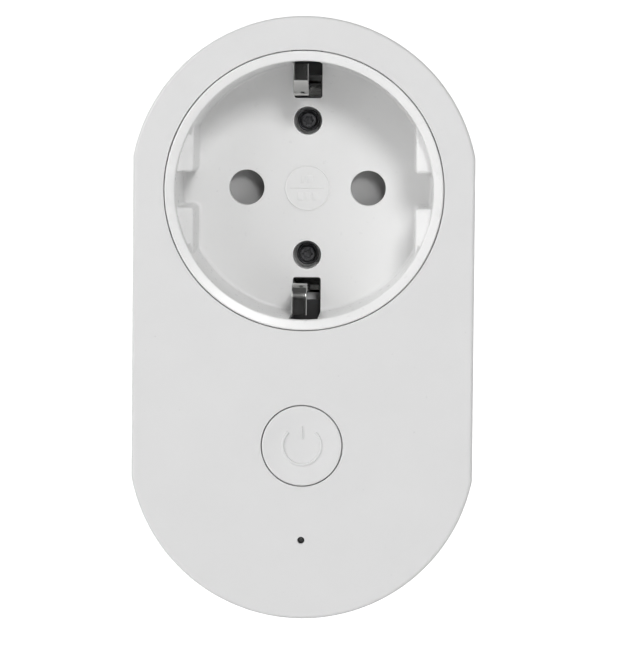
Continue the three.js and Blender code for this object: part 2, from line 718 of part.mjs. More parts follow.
// An L of iron behind and below the coil.
function relayYoke() {
  const left = RELAY_X - YOKE_HALF;
  const right = RELAY_X + YOKE_HALF;
  return box(left, right, YOKE_BACK_Y - 1, YOKE_BACK_Y, -48.7, -32.9)
    .add(box(left, right, -33.5, YOKE_BACK_Y, -48.7, -47.7));
}

function relayArmature() {
  const half = YOKE_HALF - 0.2;
  const back = ARMATURE_HINGE_Y + 0.5;
  return box(RELAY_X - half, RELAY_X + half, -34.7, back, ARMATURE_Z, ARMATURE_Z + 0.8);
}

// An L of spring copper on the armature, with a round contact on its upright.
function relayContactSpring() {
  const left = RELAY_X - 1.7;
  const right = RELAY_X + 1.7;
  const front = -34.6;
  const bottom = -30.7;
  return box(left, right, front, -28, bottom, bottom + SHEET)
    .add(box(left, right, front, front + SHEET, bottom, -27.7))
    .add(rod(RELAY_X, -28.6, 0.7, front - SHEET, front + 0.2, 16));
}

// An L of copper with its upright in front of the moving contact.
function relayFixedContact() {
  const left = RELAY_X - 2.2;
  const right = RELAY_X + 2.2;
  const front = -35.95;
  const top = -26.8;
  return box(left, right, front, front + SHEET, -30, top)
    .add(box(left, right, front, -24.8, top - SHEET, top));
}

// An electrolytic capacitor's can, with the groove that holds its rubber bung.
function canCapacitor(x, z, radius, front) {
  const groove = MOUNTED_Y - 1.9;
  return turned(x, z, [
    [front, radius - 0.5],
    [front + 0.5, radius],
    [groove - 0.5, radius],
    [groove, radius - 0.35],
    [groove + 0.5, radius],
    [MOUNTED_Y, radius],
  ], 28);
}

// A drum core with its winding between two flanges.
function powerInductor() {
  const flange = 4;
  const winding = 3.3;
  return turned(12.4, -40.8, [
    [-32.5, flange],
    [-31.3, flange],
    [-31, winding],
    [-24.2, winding],
    [-23.9, flange],
    [MOUNTED_Y, flange],
  ], 28);
}

// A round-bodied fuse resistor that lies along X above the board.
function fuseResistor() {
  const radius = 1.5;
  const halfLength = 4;
  return rodZ(0, 0, radius, -halfLength, halfLength)
    .rotate([0, 90, 0])
    .translate([-8, MOUNTED_Y - radius - 0.2, -56.6]);
}

// The wireless board, and over it the shield, as thin blocks.
function wirelessModule() {
  return box(2.3, 13.3, MOUNTED_Y - 1, MOUNTED_Y, -58, -46.8);
}

function wirelessShield() {
  return box(3, 12.6, MOUNTED_Y - 3.5, MOUNTED_Y - 1.1, -55.5, -47.6);
}

add("front_cover", frontCover(), MATT_WHITE);
add("rear_cover", rearCover(), MATT_WHITE);
add("socket_insert", socketInsert(), GLOSS_WHITE);
add("shutter_slider", shutterSlider(), GREY_PLASTIC);
addGeometry("shutter_spring", shutterSpringGeometry(), NICKEL);
add("contact_carrier", contactCarrier(), BLACK_PLASTIC);
add("line_contact", socketContact(), BRASS);
add("neutral_contact", mirrorX(socketContact()), BRASS);
add("line_pin", plugPin(), NICKEL);
add("neutral_pin", mirrorX(plugPin()), NICKEL);
add("line_pin_strap", pinStrap(), BRASS);
add("neutral_pin_strap", mirrorX(pinStrap()), BRASS);
add("earth_clip_upper", earthClip(), NICKEL);
add("earth_clip_lower", mirrorZ(earthClip()), NICKEL);
add("earth_bridge", earthBridge(), NICKEL);
add("plug_earth_strip_upper", plugEarthStrip(), NICKEL);
add("plug_earth_strip_lower", mirrorZ(plugEarthStrip()), NICKEL);
add("insert_screw_upper", insertScrew(), BLACK_STEEL);
add("insert_screw_lower", mirrorZ(insertScrew()), BLACK_STEEL);
add("power_button", powerButton(), MATT_WHITE);
add("switch_body", switchLayer(SWITCH_FRONT_Y, MOUNTED_Y, MOUNTED_Y - 1), BLACK_PLASTIC);
add("switch_cover", switchLayer(SWITCH_FRONT_Y - 0.4, SWITCH_FRONT_Y - 0.1, SWITCH_FRONT_Y), NICKEL);
add("switch_plunger", rod(0, BUTTON_Z, PLUNGER.radius, PLUNGER.front, PLUNGER.back, 24), BLACK_PLASTIC);
add("status_light_pipe", statusLightPipe(), SMOKED);
add("status_led", statusLed(), YELLOW_CASE);
add("circuit_board", circuitBoard(), BOARD_GREEN);
add("relay_base", relayBase(), BLACK_PLASTIC);
add("relay_cover", relayCover(), BLUE_COATING);
add("relay_bobbin", relayBobbin(), BLACK_PLASTIC);
add("relay_coil", rodZ(RELAY_X, COIL_Y, COIL_FLANGE_RADIUS - 0.4, -46, -34, 2.15), COPPER);
add("relay_core", rodZ(RELAY_X, COIL_Y, CORE_RADIUS, -47.4, -32.4), IRON);
add("relay_yoke", relayYoke(), IRON);
add("relay_armature", relayArmature(), IRON);
add("relay_contact_spring", relayContactSpring(), COPPER);
add("relay_fixed_contact", relayFixedContact(), COPPER);
add("input_capacitor", canCapacitor(17.2, -31.4, 5, -38.6), BLACK_PLASTIC);
add("output_capacitor", canCapacitor(20, -41.6, 3, -34), BLACK_PLASTIC);
add("power_inductor", powerInductor(), COPPER);
add("safety_capacitor", box(-7.6, 5.6, -33.5, MOUNTED_Y, -31.2, -26), YELLOW_CASE);
add("varistor", rodZ(-4.2, -27, 4.3, -51.9, -48.4), BLUE_COATING);
add("fuse_resistor", fuseResistor(), BLUE_COATING);
add("converter_chip", box(-8.2, -4.2, -24, MOUNTED_Y, -37.6, -32.8), BLACK_PLASTIC);
add("wireless_module", wirelessModule(), BOARD_GREEN);
add("wireless_shield", wirelessShield(), NICKEL);

export default group;
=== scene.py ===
"""Looks of the smart plug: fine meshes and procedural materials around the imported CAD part."""

import json
import math

import bmesh
import bpy
from mathutils import Matrix, Vector


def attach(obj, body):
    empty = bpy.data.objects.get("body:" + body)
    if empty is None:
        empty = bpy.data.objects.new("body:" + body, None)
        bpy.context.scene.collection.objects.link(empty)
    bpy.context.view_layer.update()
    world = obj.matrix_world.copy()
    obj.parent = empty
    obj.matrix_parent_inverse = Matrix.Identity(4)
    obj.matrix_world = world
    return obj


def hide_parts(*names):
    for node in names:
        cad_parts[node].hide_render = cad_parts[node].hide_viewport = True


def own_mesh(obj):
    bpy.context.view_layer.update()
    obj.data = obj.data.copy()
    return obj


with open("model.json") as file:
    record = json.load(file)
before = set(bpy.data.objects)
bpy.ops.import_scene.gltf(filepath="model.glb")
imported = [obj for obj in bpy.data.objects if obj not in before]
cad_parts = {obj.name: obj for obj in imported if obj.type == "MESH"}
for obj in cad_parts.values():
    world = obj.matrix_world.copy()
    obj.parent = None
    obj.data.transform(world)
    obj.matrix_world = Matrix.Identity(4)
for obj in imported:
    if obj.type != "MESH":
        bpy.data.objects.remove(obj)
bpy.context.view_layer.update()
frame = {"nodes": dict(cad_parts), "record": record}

MM = 0.001

# ---- Sizes in millimetres, in the row's frame ----
FRONT_Y = -43.0
PARTING_Y = -24.0
SLAB_BACK_Y = -17.5
END_RADIUS = 26.6
HALF_WIDTH = 26.1
BUTTON_Z = -39.0
LIGHT_Z = -53.5
FACE_WALL = 2.0
SIDE_WALL = 1.8
WINDOW_RADIUS = 21.42
INSERT_RADIUS = 21.3
RIM_RADIUS = 19.75
RIM_FALL = 0.26
WELL_FLOOR_RADIUS = 19.5
FLOOR_Y = -25.5
FLOOR_BACK_Y = -23.5
GUIDE_FLAT = 17.0
GUIDE_TOP_Y = -40.3
GUIDE_NOTCH = 2.7
PIN_X = 9.5
PIN_RADIUS = 2.4
PIN_HOLE_RADIUS = 2.75
SCREW_Z = 10.5
SCREW_HOLE_RADIUS = 2.2
SCREW_HEAD_RADIUS = 1.7
BADGE_RADIUS = 3.55
BUTTON_HOLE_RADIUS = 6.26
BUTTON_RADIUS = 6.12
LIGHT_HOLE_RADIUS = 0.54
BASE_RADIUS = 18.5
BASE_FLAT = 16.75
BASE_RIB_HALF = 2.45
BASE_RIB_RADIUS = 18.35
BASE_WALL = 1.8
BASE_END_WALL = 2.5
STRIP_RECESS_HALF = 2.2
STRIP_RECESS_Z = 17.6
STRIP_RECESS_END_Y = -2.0
EARTH_SLOT_HALF = 2.2
EARTH_SLOT_INNER = 14.0
EARTH_SLOT_TOP_Y = -41.4
EARTH_SLOT_OUTER = 24.0
EARTH_SLOT_CORNER = 0.45
WELL_RADIUS = 19.71
INSERT_LEDGE_Y = -19.9
INSERT_LEDGE_BACK_Y = -18.6
SCREW_CLEARANCE_RADIUS = 1.45
SCREW_BOSS_RADIUS = 3.3
PIN_SEAT_RADIUS = PIN_RADIUS + 0.1
PARTING_CHAMFER = 0.12
PARTING_CHAMFER_DEPTH = 0.2
PARTING_HALF_GAP = 0.05
BUTTON_COLLAR_WALL = 1.3
BUTTON_COLLAR_END_Y = -35.0
LIGHT_COLLAR_BORE = 1.3
LIGHT_COLLAR_RADIUS = 2.1
LIGHT_COLLAR_END_Y = -38.0
CLIP_Z = 15.9
CLIP_X = (-1.95, 0.4)

# Radii of the rounded edges.
FACE_EDGE = 0.55
BACK_EDGE = 0.6
WINDOW_EDGE = 0.14
BUTTON_HOLE_EDGE = 0.12
LIGHT_HOLE_EDGE = 0.05
BASE_FOOT_FILLET = 0.3
BASE_END_EDGE = 0.6
PIN_SEAT_EDGE = 0.15
INSERT_EDGE = 0.28
RIM_EDGE = 0.3
GUIDE_EDGE = 0.4
FLOOR_FILLET = 0.5
PIN_HOLE_EDGE = 0.12
SCREW_HOLE_EDGE = 0.1
BADGE_EDGE = 0.1


# ---- Mesh helpers ----
def arc(cx, cz, radius, start, end, steps):
    points = []
    for i in range(steps + 1):
        angle = start + (end - start) * i / steps
        points.append((cx + radius * math.cos(angle), cz + radius * math.sin(angle)))
    return points


def circle(cx, cz, radius, steps):
    return arc(cx, cz, radius, 0.0, 2 * math.pi, steps)[:-1]


def fillet_steps(radius, steps=5):
    """Pairs (setback, depth) along a quarter round, from the flat face to the side wall."""
    pairs = []
    for i in range(steps + 1):
        angle = math.pi / 2 * i / steps
        pairs.append((radius * (1 - math.sin(angle)), radius * (1 - math.cos(angle))))
    return pairs


def mouth(centre, radius, steps, y, edge, edge_steps=3, inwards=1):
    """Layers of a round hole's rounded mouth, from the face at y towards the inside."""
    layers = []
    for back, depth in fillet_steps(edge, edge_steps):
        layers.append((circle(*centre, radius + back, steps), y + inwards * depth))
    return layers


def housing_outline(inset, steps=96):
    """The housing's outline: an arc about each end, cut to the width by straight sides."""
    radius = END_RADIUS - inset
    shoulder = math.acos((HALF_WIDTH - inset) / radius)
    upper = arc(0, 0, radius, shoulder, math.pi - shoulder, steps)
    lower = arc(0, BUTTON_Z, radius, math.pi + shoulder, 2 * math.pi - shoulder, steps)
    return upper + lower


def normals_of(points):
    """Unit normals of a closed anticlockwise outline, pointing inwards."""
    count = len(points)
    result = []
    for i in range(count):
        ax, az = points[i - 1]
        bx, bz = points[(i + 1) % count]
        along = Vector((bx - ax, bz - az))
        along.normalize()
        result.append((-along.y, along.x))
    return result


def across(path, i):
    """Unit vector square to an open path of 2-D points at its point i."""
    before = Vector(path[max(i - 1, 0)])
    after = Vector(path[min(i + 1, len(path) - 1)])
    along = (after - before).normalized()
    return Vector((-along.y, along.x))


def inset_outline(points, distance, weights=None):
    """The closed outline moved inwards by distance, times a weight for each point if given."""
    moved = []
    for i, ((x, z), (nx, nz)) in enumerate(zip(points, normals_of(points))):
        d = distance * (weights[i] if weights else 1.0)
        moved.append((x + nx * d, z + nz * d))
    return moved


class Shell:
    """A closed mesh built from loops of points that are bridged or filled."""

    def __init__(self):
        self.bm = bmesh.new()

    def loop(self, outline, y):
        return [self.bm.verts.new((x * MM, y * MM, z * MM)) for x, z in outline]

    def loop3(self, points):
        return [self.bm.verts.new((x * MM, y * MM, z * MM)) for x, y, z in points]

    def bridge(self, first, second):
        count = len(first)
        for i in range(count):
            j = (i + 1) % count
            self.bm.faces.new((first[i], first[j], second[j], second[i]))

    def stack(self, layers):
        """Bridges (outline, y) layers in order and returns the first and last loops."""
        loops = [self.loop(outline, y) for outline, y in layers]
        for first, second in zip(loops, loops[1:]):
            self.bridge(first, second)
        return loops[0], loops[-1]

    def tube(self, rings):
        """Bridges rings of (x, y, z) points in order and caps both ends."""
        loops = [self.loop3(ring) for ring in rings]
        for first, second in zip(loops, loops[1:]):
            self.bridge(first, second)
        self.cap(loops[0])
        self.cap(loops[-1])
        return self

    def fill(self, *loops):
        """Closes a flat region bounded by loops: the first outside, the others holes."""
        edges = []
        for verts in loops:
            for i, vert in enumerate(verts):
                other = verts[(i + 1) % len(verts)]
                edge = self.bm.edges.get((vert, other)) or self.bm.edges.new((vert, other))
                edges.append(edge)
        bmesh.ops.triangle_fill(self.bm, use_beauty=True, use_dissolve=False, edges=edges, normal=(0, 1, 0))

    def cap(self, verts):
        self.bm.faces.new(verts)

    def mesh(self, name, merge=2e-7):
        bmesh.ops.remove_doubles(self.bm, verts=self.bm.verts, dist=merge)
        bmesh.ops.dissolve_degenerate(self.bm, edges=self.bm.edges, dist=1e-8)
        bmesh.ops.recalc_face_normals(self.bm, faces=self.bm.faces)
        mesh = bpy.data.meshes.new(name)
        self.bm.to_mesh(mesh)
        self.bm.free()
        return mesh


def smooth(mesh, degrees=32):
    """Smooth shading with sharp edges kept, and flat areas left truly flat next to their fillets."""
    for polygon in mesh.polygons:
        polygon.use_smooth = True
    mesh.set_sharp_from_angle(angle=math.radians(degrees))
    thing = bpy.data.objects.new("shaded", mesh)
    bpy.context.scene.collection.objects.link(thing)
    modifier = thing.modifiers.new("weighted", "WEIGHTED_NORMAL")
    modifier.keep_sharp = True
    depsgraph = bpy.context.evaluated_depsgraph_get()
    shaded = bpy.data.meshes.new_from_object(thing.evaluated_get(depsgraph))
    bpy.data.objects.remove(thing)
    return shaded


def piece(name, mesh, body, slot, replaces=(), degrees=32):
    """Adds a finished piece that rides on a body and has the look of a material slot."""
    mesh = smooth(mesh, degrees)
    thing = bpy.data.objects.new(name, mesh)
    bpy.context.scene.collection.objects.link(thing)
    mesh.materials.clear()
    mesh.materials.append(LOOKS[slot])
    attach(thing, body)
    if replaces:
        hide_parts(*replaces)
    return thing


def lathe(profile, cx, cz, steps=96):
    """A mesh turned about the axis along Y through (cx, cz).

    The (radius, y) profile starts and ends on the axis.
    """
    shell = Shell()
    rings = []
    for radius, y in profile:
        if radius < 1e-6:
            rings.append(shell.loop([(cx, cz)], y))
        else:
            rings.append(shell.loop(circle(cx, cz, radius, steps), y))
    for first, second in zip(rings, rings[1:]):
        if len(first) == 1 or len(second) == 1:
            pole, ring = (first[0], second) if len(first) == 1 else (second[0], first)
            for i in range(steps):
                shell.bm.faces.new((pole, ring[i], ring[(i + 1) % steps]))
        else:
            shell.bridge(first, second)
    return shell


def boolean_cut(mesh, cutter_meshes):
    """The mesh with the closed cutter meshes taken out of it."""
    target = bpy.data.objects.new("target", mesh)
    bpy.context.scene.collection.objects.link(target)
    cutters = []
    for cutter_mesh in cutter_meshes:
        cutter = bpy.data.objects.new("cutter", cutter_mesh)
        bpy.context.scene.collection.objects.link(cutter)
        cutters.append(cutter)
        modifier = target.modifiers.new("cut", "BOOLEAN")
        modifier.operation = "DIFFERENCE"
        modifier.solver = "EXACT"
        modifier.object = cutter
    depsgraph = bpy.context.evaluated_depsgraph_get()
    result = bpy.data.meshes.new_from_object(target.evaluated_get(depsgraph))
    for thing in [target, *cutters]:
        bpy.data.objects.remove(thing)
    return result


def rounded_rectangle(x0, x1, z0, z1, radius, steps=5):
    """Outline in (x, z) with rounded corners, anticlockwise from the right."""
    corners = [
        (x1 - radius, z1 - radius, 0), (x0 + radius, z1 - radius, 1),
        (x0 + radius, z0 + radius, 2), (x1 - radius, z0 + radius, 3),
    ]
    points = []
    for cx, cz, quarter in corners:
        points += arc(cx, cz, radius, quarter * math.pi / 2, (quarter + 1) * math.pi / 2, steps)
    return points


def rounded_block(x0, x1, y0, y1, z0, z1, corner, edge):
    """A block with rounded vertical corners (in x and z) and rounded front and back edges."""
    outline = rounded_rectangle(x0, x1, z0, z1, corner)
    shell = Shell()
    front = [(inset_outline(outline, back), y0 + depth) for back, depth in fillet_steps(edge, 3)]
    rear = [(inset_outline(outline, back), y1 - depth) for back, depth in reversed(fillet_steps(edge, 3))]
    first, last = shell.stack(front + rear)
    shell.cap(first)
    shell.cap(last)
    return shell


# ---- Materials ----
class Nodes:
    """A small wrapper that builds one procedural material."""

    def __init__(self, name):
        self.material = bpy.data.materials.new(name)
        self.material.use_nodes = True
        self.tree = self.material.node_tree
        self.shader = self.tree.nodes["Principled BSDF"]
        self.coords = self.tree.nodes.new("ShaderNodeTexCoord").outputs["Object"]
        self.last_bump = None

    def new(self, kind):
        return self.tree.nodes.new(kind)

    def link(self, source, target):
        self.tree.links.new(source, target)

    def stretched(self, scale):
        mapping = self.new("ShaderNodeMapping")
        mapping.inputs["Scale"].default_value = scale
        self.link(self.coords, mapping.inputs["Vector"])
        return mapping.outputs["Vector"]

    def noise(self, scale, detail=3.0, roughness=0.55, vector=None):
        node = self.new("ShaderNodeTexNoise")
        node.inputs["Scale"].default_value = scale
        node.inputs["Detail"].default_value = detail
        node.inputs["Roughness"].default_value = roughness
        self.link(vector or self.coords, node.inputs["Vector"])
        return node.outputs["Fac"]

    def ramp(self, factor, stops):
        node = self.new("ShaderNodeValToRGB")
        elements = node.color_ramp.elements
        while len(elements) < len(stops):
            elements.new(0.5)
        for element, (position, colour) in zip(elements, stops):
            element.position = position
            element.color = (*colour, 1.0)
        self.link(factor, node.inputs["Fac"])
        return node.outputs["Color"]

    def grey_range(self, factor, low, high, start=0.3, end=0.7):
        node = self.new("ShaderNodeMapRange")
        node.inputs["From Min"].default_value = start
        node.inputs["From Max"].default_value = end
        node.inputs["To Min"].default_value = low
        node.inputs["To Max"].default_value = high
        self.link(factor, node.inputs["Value"])
        return node.outputs["Result"]

    def mix(self, factor, first, second):
        node = self.new("ShaderNodeMix")
        node.data_type = "RGBA"
        self.link(factor, node.inputs["Factor"])
        for socket, value in ((node.inputs["A"], first), (node.inputs["B"], second)):
            if isinstance(value, tuple):
                socket.default_value = (*value, 1.0)
            else:
                self.link(value, socket)
        return node.outputs["Result"]

    def colour(self, source):
        self.link(source, self.shader.inputs["Base Color"])

    def roughness(self, source):
        self.link(source, self.shader.inputs["Roughness"])

    def bump(self, height, strength, distance):
        node = self.new("ShaderNodeBump")
        node.inputs["Strength"].default_value = strength
        node.inputs["Distance"].default_value = distance
        self.link(height, node.inputs["Height"])
        if self.last_bump:
            self.link(self.last_bump, node.inputs["Normal"])
        self.last_bump = node.outputs["Normal"]
        self.link(self.last_bump, self.shader.inputs["Normal"])


def shade(colour, factor):
    return tuple(min(1.0, channel * factor) for channel in colour)


def plastic(name, colour, roughness, grain, grain_strength, variation=0.02, specks=False, ripple=0.03):
    """Moulded plastic with a fine grain of that pitch in mm, slight waviness and uneven gloss."""
    n = Nodes(name)
    cloud = n.noise(90.0, 4.0)
    base = n.ramp(cloud, [(0.3, shade(colour, 1 - variation)), (0.7, shade(colour, 1 + variation))])
    if specks:
        dust = n.grey_range(n.noise(2600.0, 1.0), 0.0, 0.55, 0.80, 0.84)
        base = n.mix(dust, base, shade(colour, 0.45))
    n.colour(base)
    n.roughness(n.grey_range(n.noise(900.0, 3.0), roughness * 0.9, roughness * 1.12))
    n.bump(n.noise(1e3 / grain, 2.0, 0.6), grain_strength, 0.02 * MM)
    n.bump(n.noise(160.0, 2.0), ripple, 0.05 * MM)
    n.shader.inputs["Specular IOR Level"].default_value = 0.45
    return n.material


def metal(name, colour, roughness, scratch=0.06, tarnish=0.15, stretch=(1.0, 0.06, 1.0)):
    """Drawn or plated metal: fine lines along the stretch's smallest axis and cloudy tarnish."""
    n = Nodes(name)
    n.shader.inputs["Metallic"].default_value = 1.0
    cloud = n.noise(500.0, 4.0)
    n.colour(n.ramp(cloud, [(0.25, shade(colour, 1 - tarnish)), (0.7, colour)]))
    lines = n.noise(9000.0, 2.0, 0.6, n.stretched(stretch))
    n.roughness(n.grey_range(lines, roughness * 0.75, roughness * 1.4))
    n.bump(lines, scratch, 0.01 * MM)
    n.bump(n.noise(1500.0, 2.0), 0.04, 0.02 * MM)
    return n.material


def winding(name, colour, pitch, roughness=0.32):
    """Enamelled wire wound about Z: fine ridges with a slightly uneven lay, and painted shade that darkens
    the grooves between turns.
    """
    n = Nodes(name)
    n.shader.inputs["Metallic"].default_value = 0.85
    wave = n.new("ShaderNodeTexWave")
    wave.wave_type = "BANDS"
    wave.bands_direction = "Z"
    wave.inputs["Scale"].default_value = 1.0 / (pitch * MM) / 20.0 * math.pi
    wave.inputs["Distortion"].default_value = 0.4
    wave.inputs["Detail"].default_value = 1.0
    n.link(n.coords, wave.inputs["Vector"])
    bands = wave.outputs["Fac"]
    # The colour is darker in the grooves between turns: painted shade.
    n.colour(n.ramp(bands, [(0.0, shade(colour, 0.35)), (0.6, colour)]))
    n.roughness(n.grey_range(n.noise(3000.0), roughness * 0.8, roughness * 1.3))
    n.bump(bands, 0.7, 0.05 * MM)
    return n.material


def board(name, colour):
    """Green solder mask with slightly raised copper tracks and woven glass under it."""
    n = Nodes(name)
    brick = n.new("ShaderNodeTexBrick")
    brick.inputs["Scale"].default_value = 420.0
    brick.inputs["Mortar Size"].default_value = 0.06
    brick.inputs["Mortar Smooth"].default_value = 0.3
    brick.inputs["Color1"].default_value = (0, 0, 0, 1)
    brick.inputs["Color2"].default_value = (0.15, 0.15, 0.15, 1)
    brick.inputs["Mortar"].default_value = (1, 1, 1, 1)
    turn = n.new("ShaderNodeMapping")
    turn.inputs["Rotation"].default_value = (math.pi / 2, 0, 0)
    n.link(n.coords, turn.inputs["Vector"])
    n.link(turn.outputs["Vector"], brick.inputs["Vector"])
    tracks = brick.outputs["Color"]
    n.colour(n.mix(tracks, colour, shade(colour, 1.9)))
    n.roughness(n.grey_range(n.noise(1800.0), 0.3, 0.45))
    n.bump(tracks, 0.5, 0.04 * MM)
    n.bump(n.noise(5000.0), 0.1, 0.02 * MM)
    return n.material


WHITE = (0.755, 0.755, 0.755)
INSERT_WHITE = (0.87, 0.87, 0.867)

LOOKS = {
    "housing_white": plastic("matt_white_shell", WHITE, 0.5, 0.22, 0.35, 0.012, specks=True),
    "button_white": plastic("matt_white_button", shade(WHITE, 1.01), 0.46, 0.2, 0.3, 0.01),
    "insert_white": plastic("gloss_white_insert", INSERT_WHITE, 0.3, 0.6, 0.015, 0.006, ripple=0.005),
    "shutter_grey": plastic("grey_shutter", (0.42, 0.42, 0.42), 0.4, 0.3, 0.25, 0.04),
    "black_plastic": plastic("black_moulding", (0.02, 0.02, 0.021), 0.42, 0.3, 0.4, 0.15),
    "smoked_plastic": plastic("smoked_light_pipe", (0.02, 0.02, 0.02), 0.12, 0.6, 0.05, 0.1),
    "led_resin": plastic("yellow_led_resin", (0.6, 0.5, 0.15), 0.25, 0.4, 0.1, 0.05),
    "relay_blue": plastic("blue_relay_case", (0.03, 0.12, 0.32), 0.3, 0.4, 0.25, 0.06),
    "capacitor_sleeve": plastic("black_shrink_sleeve", (0.02, 0.02, 0.03), 0.3, 0.5, 0.3, 0.15),
    "film_yellow": plastic("yellow_film_case", (0.55, 0.40, 0.06), 0.35, 0.4, 0.25, 0.06),
    "disc_blue": plastic("blue_epoxy_dip", (0.04, 0.13, 0.30), 0.28, 1.2, 0.5, 0.1),
    "spring_steel": metal("spring_steel", (0.60, 0.60, 0.59), 0.3),
    "contact_brass": metal("contact_brass", (0.62, 0.46, 0.20), 0.28),
    "plug_nickel": metal("nickel_pins", (0.66, 0.65, 0.61), 0.2, 0.05, 0.06),
    "earth_nickel": metal("nickel_earth_strip", (0.50, 0.50, 0.49), 0.13, 0.12, 0.12),
    "screw_black": metal("blackened_screw", (0.11, 0.11, 0.115), 0.36, 0.1, 0.2, (1.0, 1.0, 1.0)),
    "relay_iron": metal("relay_iron", (0.25, 0.25, 0.26), 0.4),
    "spring_copper": metal("contact_spring_copper", (0.55, 0.28, 0.14), 0.3),
    "coil_copper": winding("enamelled_winding", (0.48, 0.20, 0.09), 0.16),
    "board_green": board("solder_mask", (0.02, 0.12, 0.06)),
}

for row in frame["record"]["subparts"]:
    node = frame["nodes"][row["node"]]
    node.data.materials.clear()
    node.data.materials.append(LOOKS[row["material_slot"]])


# ---- Front cover ----
def make_front_cover():
    shell = Shell()
    edge = [(housing_outline(back), FRONT_Y + depth) for back, depth in fillet_steps(FACE_EDGE, 6)]
    face_loop, rim_outer = shell.stack(edge + [
        (housing_outline(0.0), PARTING_Y - PARTING_CHAMFER_DEPTH),
        (housing_outline(PARTING_CHAMFER), PARTING_Y - PARTING_HALF_GAP),
    ])
    inner_y = FRONT_Y + FACE_WALL
    rim_inner, ceiling = shell.stack([
        (housing_outline(SIDE_WALL), PARTING_Y - PARTING_HALF_GAP),
        (housing_outline(SIDE_WALL), inner_y),
    ])
    shell.bridge(rim_outer, rim_inner)

    window = mouth((0, 0), WINDOW_RADIUS, 192, FRONT_Y, WINDOW_EDGE)
    window_face, window_back = shell.stack(window + [(circle(0, 0, WINDOW_RADIUS, 192), inner_y)])

    hole = mouth((0, BUTTON_Z), BUTTON_HOLE_RADIUS, 128, FRONT_Y, BUTTON_HOLE_EDGE)
    collar_radius = BUTTON_HOLE_RADIUS + BUTTON_COLLAR_WALL
    button_face, button_back = shell.stack(hole + [
        (circle(0, BUTTON_Z, BUTTON_HOLE_RADIUS, 128), BUTTON_COLLAR_END_Y),
        (circle(0, BUTTON_Z, collar_radius, 128), BUTTON_COLLAR_END_Y),
        (circle(0, BUTTON_Z, collar_radius, 128), inner_y),
    ])

    light = mouth((0, LIGHT_Z), LIGHT_HOLE_RADIUS, 40, FRONT_Y, LIGHT_HOLE_EDGE, 2)
    light_face, light_back = shell.stack(light + [
        (circle(0, LIGHT_Z, LIGHT_HOLE_RADIUS, 40), inner_y),
        (circle(0, LIGHT_Z, LIGHT_COLLAR_BORE, 40), inner_y),
        (circle(0, LIGHT_Z, LIGHT_COLLAR_BORE, 40), LIGHT_COLLAR_END_Y),
        (circle(0, LIGHT_Z, LIGHT_COLLAR_RADIUS, 40), LIGHT_COLLAR_END_Y),
        (circle(0, LIGHT_Z, LIGHT_COLLAR_RADIUS, 40), inner_y),
    ])

    shell.fill(face_loop, window_face, button_face, light_face)
    shell.fill(ceiling, window_back, button_back, light_back)
    piece("front_shell", shell.mesh("front_shell"), "housing", "housing_white", ["front_cover"])


# ---- Rear cover with the plug base ----
def base_outline(inset, recessed):
    """Plug base: a round with two flats, a rib on each flat and, if recessed, a groove at top and bottom."""
    radius = BASE_RADIUS - inset
    flat = BASE_FLAT - inset
    rib = BASE_RIB_HALF - inset
    rib_end = math.sqrt((BASE_RIB_RADIUS - inset) ** 2 - rib * rib)
    corner = math.acos(flat / radius)
    half = STRIP_RECESS_HALF + inset
    groove = STRIP_RECESS_Z - inset
    lip = math.asin(half / radius)
    quarter = arc(0, 0, BASE_RIB_RADIUS - inset, 0.0, math.atan2(rib, rib_end), 6)
    quarter += [(flat, rib)]
    quarter += arc(0, 0, radius, corner, math.pi / 2 - lip, 28)
    floor = [(half, groove), (half / 2, groove), (0.0, groove)]
    lid = [(half * t, math.sqrt(radius ** 2 - (half * t) ** 2)) for t in (1.0, 0.5, 0.0)]
    quarter += floor if recessed else lid
    mirrored = [(-x, z) for x, z in reversed(quarter[1:-1])]
    upper = quarter + mirrored
    lower = [(-x, -z) for x, z in upper]
    return upper + [(-quarter[0][0], quarter[0][1])] + lower[1:]


